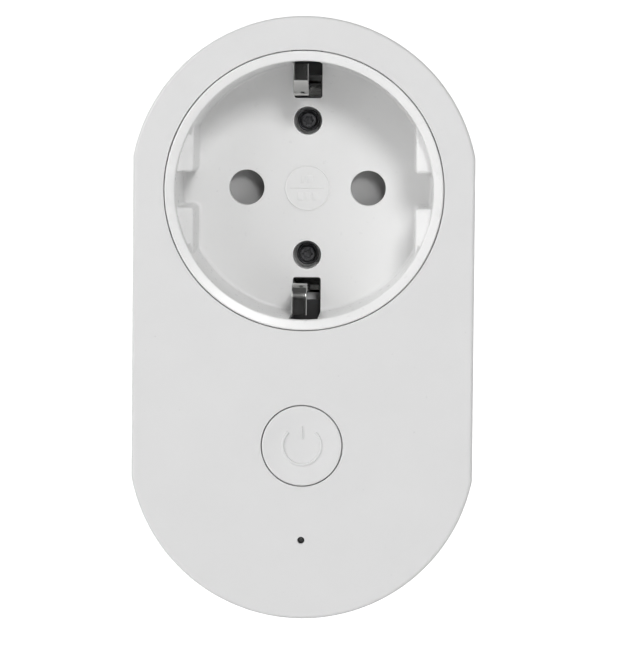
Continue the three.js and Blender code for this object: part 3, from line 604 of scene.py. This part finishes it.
def make_rear_cover():
    shell = Shell()
    outer = [
        (housing_outline(PARTING_CHAMFER), PARTING_Y + PARTING_HALF_GAP),
        (housing_outline(0.0), PARTING_Y + PARTING_CHAMFER_DEPTH),
    ]
    edge = [
        (housing_outline(back), SLAB_BACK_Y - depth)
        for back, depth in reversed(fillet_steps(BACK_EDGE, 6))
    ]
    rim_outer, back_loop = shell.stack(outer + edge)
    inner_y = SLAB_BACK_Y - FACE_WALL
    rim_inner, inner_back = shell.stack([
        (housing_outline(SIDE_WALL), PARTING_Y + PARTING_HALF_GAP),
        (housing_outline(SIDE_WALL), inner_y),
    ])
    shell.bridge(rim_outer, rim_inner)

    foot = [
        (base_outline(-back, True), SLAB_BACK_Y + depth)
        for back, depth in fillet_steps(BASE_FOOT_FILLET, 3)
    ]
    end = [
        (base_outline(back, False), -depth)
        for back, depth in reversed(fillet_steps(BASE_END_EDGE, 5))
    ]
    foot_loop, end_loop = shell.stack(foot + [
        (base_outline(0.0, True), STRIP_RECESS_END_Y),
        (base_outline(0.0, False), STRIP_RECESS_END_Y),
    ] + end)
    shell.fill(back_loop, foot_loop)

    hollow_radius = BASE_RADIUS - BASE_WALL
    hollow_flat = BASE_FLAT - BASE_WALL
    corner = math.acos(hollow_flat / hollow_radius)
    hollow = arc(0, 0, hollow_radius, corner, math.pi - corner, 40)
    hollow += arc(0, 0, hollow_radius, math.pi + corner, 2 * math.pi - corner, 40)
    hollow_open, hollow_end = shell.stack([(hollow, inner_y), (hollow, -BASE_END_WALL)])
    shell.fill(inner_back, hollow_open)

    faces, backs = [], []
    for side in (-1, 1):
        seat = mouth((side * PIN_X, 0), PIN_SEAT_RADIUS, 48, 0.0, PIN_SEAT_EDGE, inwards=-1)
        seat.append((circle(side * PIN_X, 0, PIN_SEAT_RADIUS, 48), -BASE_END_WALL))
        face, back = shell.stack(seat)
        faces.append(face)
        backs.append(back)
    shell.fill(end_loop, *faces)
    shell.fill(hollow_end, *backs)
    piece("rear_shell", shell.mesh("rear_shell"), "housing", "housing_white", ["rear_cover"])


# ---- Socket insert ----
def round_corners(points, radii, steps=5):
    """The polygon with each corner of a given radius replaced by an arc of steps + 1 points."""
    result = []
    count = len(points)
    for i, (x, z) in enumerate(points):
        radius = radii[i]
        if not radius:
            result.append((x, z))
            continue
        here = Vector((x, z))
        to_before = (Vector(points[i - 1]) - here).normalized()
        to_after = (Vector(points[(i + 1) % count]) - here).normalized()
        half = to_before.angle(to_after) / 2
        reach = radius / math.tan(half)
        start = here + to_before * reach
        end = here + to_after * reach
        middle = here + (to_before + to_after).normalized() * (radius / math.sin(half))
        first = math.atan2(start.y - middle.y, start.x - middle.x)
        last = math.atan2(end.y - middle.y, end.x - middle.x)
        turn = (last - first + math.pi) % (2 * math.pi) - math.pi
        for k in range(steps + 1):
            angle = first + turn * k / steps
            result.append((middle.x + radius * math.cos(angle), middle.y + radius * math.sin(angle)))
    return result


def well_outline(radius):
    """The well's outline at the guide blocks: a circle with two notched blocks reaching in to the flats."""
    keep_off = 0.07
    notch_angle = math.asin(GUIDE_NOTCH / radius)
    chord_angle = math.acos(GUIDE_FLAT / radius)
    right_notch = arc(0, 0, radius, -notch_angle + keep_off, notch_angle - keep_off, 4)
    upper = arc(0, 0, radius, chord_angle + keep_off, math.pi - chord_angle - keep_off, 72)
    notch_x = math.sqrt(radius ** 2 - GUIDE_NOTCH ** 2)
    chord_z = math.sqrt(radius ** 2 - GUIDE_FLAT ** 2)
    side = [(notch_x, GUIDE_NOTCH, 0.45), (GUIDE_FLAT, GUIDE_NOTCH, 0.55)]
    side += [(GUIDE_FLAT, GUIDE_NOTCH + (chord_z - GUIDE_NOTCH) * t / 4, 0.0) for t in (1, 2, 3)]
    side += [(GUIDE_FLAT, chord_z, 0.8)]
    half = [(x, z, 0.0) for x, z in right_notch] + side + [(x, z, 0.0) for x, z in upper]
    half += [(-x, z, r) for x, z, r in reversed(side)]
    whole = half + [(-x, -z, r) for x, z, r in half]
    return round_corners([(x, z) for x, z, _ in whole], [r for _, _, r in whole])


def make_socket_insert():
    shell = Shell()
    guided_top = well_outline(WELL_RADIUS)
    guided_floor = well_outline(WELL_FLOOR_RADIUS)
    angles = [math.atan2(z, x) for x, z in guided_top]
    on_block = [1.0 if math.hypot(x, z) < WELL_RADIUS - 0.02 else 0.0 for x, z in guided_top]

    def ring(radius):
        return [(radius * math.cos(a), radius * math.sin(a)) for a in angles]

    def clipped(outline, radius):
        result = []
        for x, z in outline:
            shrink = min(1.0, radius / math.hypot(x, z))
            result.append((x * shrink, z * shrink))
        return result

    outer = [(ring(INSERT_RADIUS), FLOOR_BACK_Y)]
    outer += [
        (ring(INSERT_RADIUS - back), FRONT_Y + depth)
        for back, depth in reversed(fillet_steps(INSERT_EDGE, 5))
    ]
    inner = [
        (ring(RIM_RADIUS + back), FRONT_Y + RIM_FALL + depth)
        for back, depth in fillet_steps(RIM_EDGE, 6)
    ]
    inner += [(ring(WELL_RADIUS), GUIDE_TOP_Y - 0.2)]
    inner += [
        (clipped(inset_outline(guided_top, -back, on_block), WELL_RADIUS), GUIDE_TOP_Y + 0.2 + depth)
        for back, depth in fillet_steps(GUIDE_EDGE, 5)
    ]
    floor = [
        (inset_outline(guided_floor, back), FLOOR_Y - depth)
        for back, depth in reversed(fillet_steps(FLOOR_FILLET, 5))
    ]
    back_loop, floor_loop = shell.stack(outer + inner + floor)

    faces, backs = [], []
    for side in (-1, 1):
        hole = mouth((side * PIN_X, 0), PIN_HOLE_RADIUS, 80, FLOOR_Y, PIN_HOLE_EDGE)
        hole.append((circle(side * PIN_X, 0, PIN_HOLE_RADIUS, 80), FLOOR_BACK_Y))
        screw = mouth((0, side * SCREW_Z), SCREW_HOLE_RADIUS, 64, FLOOR_Y, SCREW_HOLE_EDGE)
        screw += [
            (circle(0, side * SCREW_Z, SCREW_HOLE_RADIUS, 64), INSERT_LEDGE_Y),
            (circle(0, side * SCREW_Z, SCREW_CLEARANCE_RADIUS, 64), INSERT_LEDGE_Y),
            (circle(0, side * SCREW_Z, SCREW_CLEARANCE_RADIUS, 64), INSERT_LEDGE_BACK_Y),
            (circle(0, side * SCREW_Z, SCREW_BOSS_RADIUS, 64), INSERT_LEDGE_BACK_Y),
            (circle(0, side * SCREW_Z, SCREW_BOSS_RADIUS, 64), FLOOR_BACK_Y),
        ]
        for layers in (hole, screw):
            face, back = shell.stack(layers)
            faces.append(face)
            backs.append(back)

    badge = mouth((0, 0), BADGE_RADIUS, 96, FLOOR_Y - 0.12, BADGE_EDGE)
    badge_foot, badge_top = shell.stack(badge[::-1])
    shell.cap(badge_top)
    shell.fill(floor_loop, badge_foot, *faces)
    shell.fill(back_loop, *backs)
    mesh = shell.mesh("socket_well")

    slots = []
    for side in (-1, 1):
        z0, z1 = sorted((side * EARTH_SLOT_INNER, side * EARTH_SLOT_OUTER))
        outline = rounded_rectangle(-EARTH_SLOT_HALF, EARTH_SLOT_HALF, z0, z1, EARTH_SLOT_CORNER)
        cutter = Shell()
        first, last = cutter.stack([(outline, EARTH_SLOT_TOP_Y), (outline, FLOOR_BACK_Y + 2)])
        cutter.cap(first)
        cutter.cap(last)
        slots.append(cutter.mesh("slot"))
    mesh = boolean_cut(mesh, slots)
    piece("socket_well", mesh, "housing", "insert_white", ["socket_insert"])


# Section of the badge's rim, as offsets from its radius and from the well floor.
BADGE_RIM = [(-0.2, 0.1), (-0.2, -0.17), (-0.14, -0.22), (-0.06, -0.22), (0.0, -0.17), (0.0, 0.1)]
BADGE_DIVIDER = (-2.7, 2.7, -0.11, 0.11)
BADGE_UPPER_BLOCKS = [(-0.95, -0.45, 0.75, 1.95), (-0.05, 0.85, 0.75, 1.95)]
BADGE_LOWER_BLOCKS = [(left, left + 0.85, -1.95, -0.75) for left in (-1.55, -0.4, 0.75)]
BADGE_MARK_Y = (FLOOR_Y - 0.24, FLOOR_Y + 0.1)


def make_badge():
    """A rim, a divider and two rows of plain blocks that stand where the rating would be."""
    shell = Shell()
    first, last = shell.stack([
        (circle(0, 0, BADGE_RADIUS + outwards, 96), FLOOR_Y + rise) for outwards, rise in BADGE_RIM
    ])
    shell.bridge(last, first)
    piece("badge_rim", shell.mesh("badge_rim"), "housing", "insert_white")
    marks = [BADGE_DIVIDER, *BADGE_UPPER_BLOCKS, *BADGE_LOWER_BLOCKS]
    for i, (x0, x1, z0, z1) in enumerate(marks):
        block = rounded_block(x0, x1, *BADGE_MARK_Y, z0, z1, 0.1, 0.04)
        name = f"badge_mark_{i}"
        piece(name, block.mesh(name), "housing", "insert_white")


def sheet_block(outline, x0, x1):
    """A prism along X through an outline in (y, z)."""
    return Shell().tube([[(x, y, z) for y, z in outline] for x in (x0, x1)])


# Sizes of the black slot liners, which are painted shade: dark sheets standing where the inside of each
# earth slot is only shaded.
SHADE_LINER_GAP = 0.02
SHADE_LINER_WALL = 0.12
SHADE_LINER_OUTER_Z = 24.5
SHADE_LINER_FRONT_Z = 19.95
SHADE_LINER_MOUTH_Z = 19.0
SHADE_LINER_BACK_Z = 17.6


def make_slot_shade_liner(side, name):
    """A black liner around each earth slot, open to the well and where the clip comes in: a dark sheet of
    painted shade where the inside of the slot is only shaded.
    """
    half = EARTH_SLOT_HALF - SHADE_LINER_GAP
    wall = SHADE_LINER_WALL
    top = EARTH_SLOT_TOP_Y + SHADE_LINER_GAP
    back = FLOOR_BACK_Y - 0.05
    inner = EARTH_SLOT_INNER + SHADE_LINER_GAP
    outer = SHADE_LINER_OUTER_Z
    lip = FLOOR_Y + 0.14
    sill = lip - 1.2
    body = [
        (top, SHADE_LINER_FRONT_Z), (lip, SHADE_LINER_FRONT_Z), (lip, inner),
        (back, inner), (back, outer), (top, outer),
    ]
    space = [
        (top + wall, SHADE_LINER_MOUTH_Z), (sill, SHADE_LINER_MOUTH_Z), (sill, inner + wall),
        (back + 1.0, inner + wall), (back + 1.0, SHADE_LINER_BACK_Z), (back - wall, SHADE_LINER_BACK_Z),
        (back - wall, outer - wall), (top + wall, outer - wall),
    ]
    solid = sheet_block([(y, side * z) for y, z in body], -half, half).mesh("liner")
    cut = sheet_block([(y, side * z) for y, z in space], -half + wall, half - wall).mesh("shade_liner_space")
    # The black moulding here is painted shade inside the earth slot.
    piece(name, boolean_cut(solid, [cut]), "housing", "black_plastic")


# ---- Button and status light ----
DISH_RADIUS = BUTTON_RADIUS - 0.34
DISH_DEPTH = 0.42
DISH_STEPS = 16
BUTTON_EDGE = 0.2
BUTTON_SKIRT = 1.2
BUTTON_BACK_Y = PARTING_Y - 10.7
BUTTON_CEILING_Y = FRONT_Y + 2.4
BUTTON_STEM_RADIUS = 2.0
BUTTON_STEM_Y = -27.4
POWER_RING_RADIUS = 2.92
POWER_RING_OPENING = 0.255
POWER_LINE_HALF = 0.23
POWER_BAR_START = 1.05
POWER_BAR_LENGTH = 1.95
POWER_BAR_STEPS = 8
# Section of a raised line, as (share of its half width, rise).
RAISED_LINE = [
    (-1.0, -0.12), (-0.97, 0.06), (-0.6, 0.19), (0.0, 0.22), (0.6, 0.19), (0.97, 0.06), (1.0, -0.12),
]


def on_dish(x, z, rise):
    """The point on the button's dished face at (x, z) from its middle, raised by rise."""
    r = math.hypot(x, z) / DISH_RADIUS
    return (x, FRONT_Y + DISH_DEPTH * (1 - r * r) - rise, z + BUTTON_Z)


def raised_line(name, path, half_width):
    """A raised line on the dish. half_width is a function of the share of the path passed."""
    rings = []
    for i, (x, z) in enumerate(path):
        side = across(path, i)
        w = half_width(i / (len(path) - 1))
        rings.append([on_dish(x + side.x * w * u, z + side.y * w * u, rise) for u, rise in RAISED_LINE])
    piece(name, Shell().tube(rings).mesh(name), "button", "button_white")


def make_button():
    """The cap with its dished face, skirt and stem, and the raised power mark."""
    profile = [(0.0, FRONT_Y + DISH_DEPTH)]
    for i in range(1, DISH_STEPS + 1):
        t = i / DISH_STEPS
        profile.append((DISH_RADIUS * t, FRONT_Y + DISH_DEPTH * (1 - t * t)))
    profile += [(BUTTON_RADIUS - back, FRONT_Y + depth) for back, depth in fillet_steps(BUTTON_EDGE, 4)]
    profile += [
        (BUTTON_RADIUS, BUTTON_BACK_Y),
        (BUTTON_RADIUS + BUTTON_SKIRT, BUTTON_BACK_Y),
        (BUTTON_RADIUS + BUTTON_SKIRT, BUTTON_BACK_Y + 1.0),
        (BUTTON_RADIUS - BUTTON_SKIRT, BUTTON_BACK_Y + 1.0),
        (BUTTON_RADIUS - BUTTON_SKIRT, BUTTON_CEILING_Y),
        (BUTTON_STEM_RADIUS, BUTTON_CEILING_Y),
        (BUTTON_STEM_RADIUS, BUTTON_STEM_Y - 0.2),
        (BUTTON_STEM_RADIUS - 0.2, BUTTON_STEM_Y),
        (0.0, BUTTON_STEM_Y),
    ]
    cap = lathe(profile, 0, BUTTON_Z, 128).mesh("button_cap")
    piece("button_cap", cap, "button", "button_white", ["power_button"])

    start = math.pi * (0.5 + POWER_RING_OPENING)
    end = math.pi * (2.5 - POWER_RING_OPENING)
    raised_line("power_mark_ring", arc(0, 0, POWER_RING_RADIUS, start, end, 72), lambda t: POWER_LINE_HALF)
    bar_path = [
        (0.0, POWER_BAR_START + POWER_BAR_LENGTH * i / POWER_BAR_STEPS)
        for i in range(POWER_BAR_STEPS + 1)
    ]
    raised_line("power_mark_bar", bar_path, lambda t: 0.25 - 0.13 * t)


LIGHT_PIPE_RADIUS = 1.1
LIGHT_PIPE_END_Y = -24.3


def make_light_pipe():
    """A stepped smoked rod whose thin tip shows in the hole below the button."""
    tip = LIGHT_HOLE_RADIUS - 0.04
    ceiling_y = FRONT_Y + FACE_WALL
    profile = [
        (0.0, FRONT_Y + 0.3),
        (tip * 0.6, FRONT_Y + 0.34),
        (tip, FRONT_Y + 0.5),
        (tip, ceiling_y + 0.3),
        (LIGHT_PIPE_RADIUS, ceiling_y + 0.5),
        (LIGHT_PIPE_RADIUS, LIGHT_PIPE_END_Y - 0.2),
        (LIGHT_PIPE_RADIUS - 0.2, LIGHT_PIPE_END_Y),
        (0.0, LIGHT_PIPE_END_Y),
    ]
    mesh = lathe(profile, 0, LIGHT_Z, 48).mesh("light_pipe")
    piece("light_pipe", mesh, "housing", "smoked_plastic", ["status_light_pipe"])


# ---- Metal parts ----
SCREW_STEPS = 96
SCREW_TIP_Y = -9.3
SCREW_SHANK_RADIUS = 1.05
FLANGE_BACK_Y = -20.1
FLANGE_FRONT_Y = -21.5
FLANGE_EDGE = 0.25
SCREW_TOP_Y = -22.2
SCREW_TOP_RADIUS = 1.25
SCREW_TOP_EDGE = 0.35
RECESS_RADIUS = 0.64
RECESS_LOBE = 0.12
RECESS_FLOOR_Y = -21.3


def lobes(z, scale):
    """Outline of the six-lobe recess about (0, z)."""
    points = []
    for i in range(SCREW_STEPS):
        angle = 2 * math.pi * i / SCREW_STEPS
        radius = (RECESS_RADIUS + RECESS_LOBE * math.cos(6 * angle)) * scale
        points.append((radius * math.cos(angle), z + radius * math.sin(angle)))
    return points


def make_screw(side, node):
    z = side * SCREW_Z

    def disc(radius, y):
        return circle(0, z, radius, SCREW_STEPS), y

    layers = [
        disc(SCREW_SHANK_RADIUS, SCREW_TIP_Y),
        disc(SCREW_SHANK_RADIUS, FLANGE_BACK_Y),
        disc(SCREW_HEAD_RADIUS - 0.05, FLANGE_BACK_Y),
        disc(SCREW_HEAD_RADIUS, FLANGE_BACK_Y - 0.1),
    ]
    for back, depth in reversed(fillet_steps(FLANGE_EDGE, 4)):
        layers.append(disc(SCREW_HEAD_RADIUS - back, FLANGE_FRONT_Y + depth))
    layers.append(disc(SCREW_TOP_RADIUS + 0.05, FLANGE_FRONT_Y + 0.05))
    for back, depth in reversed(fillet_steps(SCREW_TOP_EDGE, 5)):
        layers.append(disc(SCREW_TOP_RADIUS - back, SCREW_TOP_Y + depth))
    layers += [
        (lobes(z, 1.08), SCREW_TOP_Y),
        (lobes(z, 1.0), SCREW_TOP_Y + 0.06),
        (lobes(z, 0.94), RECESS_FLOOR_Y),
    ]
    shell = Shell()
    tip, recess_floor = shell.stack(layers)
    shell.cap(recess_floor)
    shell.cap(tip)
    piece(node + "_head", shell.mesh(node), "housing", "screw_black", [node], 25)


def strip(path, x0, x1, thickness, edge):
    """A bent metal strip: a rounded rectangle swept along a path in (y, z)."""
    section = rounded_rectangle(x0, x1, -thickness / 2, thickness / 2, edge, 3)
    rings = []
    for i, (y, z) in enumerate(path):
        side = across(path, i)
        rings.append([(x, y + side.x * v, z + side.y * v) for x, v in section])
    return Shell().tube(rings)


# Centre line of the upper clip in (y, z): its leg, a slight bend, the nose and the lead-in plate.
CLIP_PATH = [(-19.1, CLIP_Z), (-22.5, CLIP_Z)]
CLIP_PATH += arc(-26.0, CLIP_Z - 3.0, 3.0, math.pi / 2, math.pi / 2 + 0.24, 4)
CLIP_PATH += arc(-35.6, 16.3, 1.6, -0.6, -2.62, 18)
CLIP_PATH += arc(-34.386, 16.997, 3.0, -2.62, -3.124, 6)[1:]
CLIP_PATH += [(-37.43, 19.3)]
CLIP_THICKNESS = 0.5
CLIP_EDGE = 0.16


def make_earth_clip(side, node, body):
    path = [(y, side * z) for y, z in CLIP_PATH]
    mesh = strip(path, *CLIP_X, CLIP_THICKNESS, CLIP_EDGE).mesh(node)
    piece(node + "_strip", mesh, body, "earth_nickel", [node])


# Shutter spring, lying along X between a peg on the insert and the slider's lug.
SPRING_START = Vector((-5.6, -21.6, 5.25))
SPRING_LENGTH = 9.5
SPRING_RADIUS = 1.0
SPRING_WIRE = 0.18
SPRING_TURNS = 6


def make_shutter_spring():
    """A coil spring along X, from its peg towards the slider's lug."""
    rings = []
    steps = SPRING_TURNS * 24
    for i in range(steps + 1):
        turn = 2 * math.pi * SPRING_TURNS * i / steps
        outward = Vector((0, math.cos(turn), math.sin(turn)))
        centre = SPRING_START + SPRING_RADIUS * outward + Vector((SPRING_LENGTH * i / steps, 0, 0))
        section = [outward * u + Vector((v, 0, 0)) for u, v in circle(0, 0, SPRING_WIRE, 12)]
        rings.append([tuple(centre + offset) for offset in section])
    mesh = Shell().tube(rings).mesh("shutter_spring")
    coil = piece("shutter_spring_coil", mesh, "housing", "spring_steel", ["shutter_spring"])
    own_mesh(coil)


PIN_TIP_Y = 19.0
PIN_TIP_LENGTH = 1.9
PIN_TIP_STEPS = 12
# (radius, y) profile of the pin's collar inside the plug base.
PIN_COLLAR = [
    (0.0, -4.4), (2.2, -4.4), (PIN_RADIUS, -4.2), (PIN_RADIUS, -4.0), (3.2, -4.0),
    (3.3, -3.9), (3.3, -2.9), (3.2, -2.8), (PIN_RADIUS, -2.8),
]


def make_plug_pin(side, node):
    tip = []
    for i in range(PIN_TIP_STEPS):
        angle = math.pi / 2 * i / PIN_TIP_STEPS
        tip.append((PIN_RADIUS * math.cos(angle), PIN_TIP_Y - PIN_TIP_LENGTH * (1 - math.sin(angle))))
    profile = PIN_COLLAR + tip + [(0.0, PIN_TIP_Y)]
    mesh = lathe(profile, side * PIN_X, 0, 64).mesh(node)
    piece(node + "_turned", mesh, "housing", "plug_nickel", [node])


EARTH_STRIP_HALF = 2.05
EARTH_STRIP_Y = (-17.2, -2.2)
EARTH_STRIP_Z = (17.75, 18.4)


def make_plug_strip(side, node):
    z0, z1 = sorted(side * z for z in EARTH_STRIP_Z)
    block = rounded_block(-EARTH_STRIP_HALF, EARTH_STRIP_HALF, *EARTH_STRIP_Y, z0, z1, 0.25, 0.2).mesh(node)
    piece(node + "_plate", block, "housing", "earth_nickel", [node])


make_front_cover()
make_rear_cover()
make_socket_insert()
make_badge()
make_slot_shade_liner(1, "earth_slot_shade_liner_upper")
make_slot_shade_liner(-1, "earth_slot_shade_liner_lower")
make_button()
make_light_pipe()
make_screw(1, "insert_screw_upper")
make_screw(-1, "insert_screw_lower")
make_earth_clip(1, "earth_clip_upper", "clip_upper")
make_earth_clip(-1, "earth_clip_lower", "clip_lower")
make_shutter_spring()
make_plug_pin(-1, "neutral_pin")
make_plug_pin(1, "line_pin")
make_plug_strip(1, "plug_earth_strip_upper")
make_plug_strip(-1, "plug_earth_strip_lower")


# ---- Stage ----
# Sizes in metres.
FLOOR_LEVEL = -0.106
FLOOR_HALF_WIDTH = 6.0
FLOOR_NEAR = -0.9
BACKDROP_Y = 2.4
BACKDROP_BEND = 1.2
BACKDROP_HEIGHT = 4.0
BEND_STEPS = 12
GLOW_START_Y = 0.0
GLOW_END_Y = 0.17
GLOW = 0.82


def make_stage():
    """A pale floor that sweeps up into a backdrop far behind the object, which glows softly."""
    shell = Shell()
    bend_start = BACKDROP_Y - BACKDROP_BEND
    profile = [(FLOOR_NEAR, 0.0), (bend_start, 0.0)]
    for i in range(1, BEND_STEPS + 1):
        angle = math.pi / 2 * i / BEND_STEPS
        profile.append((bend_start + BACKDROP_BEND * math.sin(angle), BACKDROP_BEND * (1 - math.cos(angle))))
    profile.append((BACKDROP_Y, BACKDROP_HEIGHT))
    left = [shell.bm.verts.new((-FLOOR_HALF_WIDTH, y, z + FLOOR_LEVEL)) for y, z in profile]
    right = [shell.bm.verts.new((FLOOR_HALF_WIDTH, y, z + FLOOR_LEVEL)) for y, z in profile]
    for i in range(len(profile) - 1):
        shell.bm.faces.new((left[i], right[i], right[i + 1], left[i + 1]))
    mesh = smooth(shell.mesh("floor"))
    floor = bpy.data.objects.new("floor", mesh)
    bpy.context.scene.collection.objects.link(floor)

    n = Nodes("pale_floor")
    n.colour(n.ramp(n.noise(3.0, 2.0), [(0.3, (0.89, 0.89, 0.89)), (0.7, (0.91, 0.91, 0.91))]))
    n.shader.inputs["Roughness"].default_value = 0.85
    n.shader.inputs["Emission Color"].default_value = (1, 1, 1, 1)
    parts = n.new("ShaderNodeSeparateXYZ")
    n.link(n.coords, parts.inputs["Vector"])
    glow = n.new("ShaderNodeMapRange")
    glow.interpolation_type = "SMOOTHSTEP"
    glow.inputs["From Min"].default_value = GLOW_START_Y
    glow.inputs["From Max"].default_value = GLOW_END_Y
    glow.inputs["To Min"].default_value = 0.0
    glow.inputs["To Max"].default_value = GLOW
    n.link(parts.outputs["Y"], glow.inputs["Value"])
    n.link(glow.outputs["Result"], n.shader.inputs["Emission Strength"])
    mesh.materials.append(n.material)


LIGHTS_AIM = Vector((0.0, -0.03, -0.02))
# Name, place in metres, diameter in metres and power in watts.
LIGHTS = [
    ("key", (0.26, -1.3, 0.56), 0.34, 7.8),
    ("fill", (-1.2, -0.75, 0.6), 0.7, 7.0),
    ("front_fill", (-0.9, -1.3, 0.2), 0.6, 2.6),
    ("right_fill", (1.0, -1.1, 0.1), 0.9, 1.0),
    ("back_fill", (-0.6, 1.2, 0.9), 1.0, 0.4),
]


def add_light(name, at, size, power):
    data = bpy.data.lights.new(name, "AREA")
    data.shape = "DISK"
    data.size = size
    data.energy = power
    lamp = bpy.data.objects.new(name, data)
    lamp.location = at
    lamp.rotation_euler = (LIGHTS_AIM - Vector(at)).to_track_quat("-Z", "Y").to_euler()
    bpy.context.scene.collection.objects.link(lamp)


make_stage()
for light in LIGHTS:
    add_light(*light)


SURROUND = 0.13
SURROUND_IN_FRONT = 0.12


def make_world():
    """A soft surround, dimmer in front of the object than above and beside it."""
    world = bpy.data.worlds.new("studio")
    world.use_nodes = True
    tree = world.node_tree
    background = tree.nodes["Background"]
    background.inputs["Strength"].default_value = SURROUND
    direction = tree.nodes.new("ShaderNodeTexCoord").outputs["Generated"]
    parts = tree.nodes.new("ShaderNodeSeparateXYZ")
    tree.links.new(direction, parts.inputs["Vector"])
    spread = tree.nodes.new("ShaderNodeMapRange")
    spread.interpolation_type = "SMOOTHSTEP"
    spread.inputs["From Min"].default_value = -1.0
    spread.inputs["From Max"].default_value = -0.55
    spread.inputs["To Min"].default_value = SURROUND_IN_FRONT
    spread.inputs["To Max"].default_value = 1.0
    tree.links.new(parts.outputs["Y"], spread.inputs["Value"])
    tree.links.new(spread.outputs["Result"], background.inputs["Color"])
    bpy.context.scene.world = world


make_world()
bpy.context.scene.view_settings.view_transform = "Standard"

# ---- Camera ----
CAMERA_AT = Vector((20.5, -673.0, 17.7)) * MM
CAMERA_YAW = 0.0311
CAMERA_PITCH = -0.0624
CAMERA_ROLL = -0.0087
CAMERA_LENS = 223.7
CAMERA_SENSOR = 36.0

camera_data = bpy.data.cameras.new("camera")
camera_data.lens = CAMERA_LENS
camera_data.sensor_width = CAMERA_SENSOR
camera_data.clip_start = 0.01
camera_data.clip_end = 50.0
camera = bpy.data.objects.new("camera", camera_data)
bpy.context.scene.collection.objects.link(camera)
turned = (
    Matrix.Rotation(CAMERA_YAW, 4, "Z")
    @ Matrix.Rotation(CAMERA_PITCH, 4, "X")
    @ Matrix.Rotation(CAMERA_ROLL, 4, "Y")
    @ Matrix.Rotation(math.pi / 2, 4, "X")
)
camera.matrix_world = Matrix.Translation(CAMERA_AT) @ turned
bpy.context.scene.camera = camera
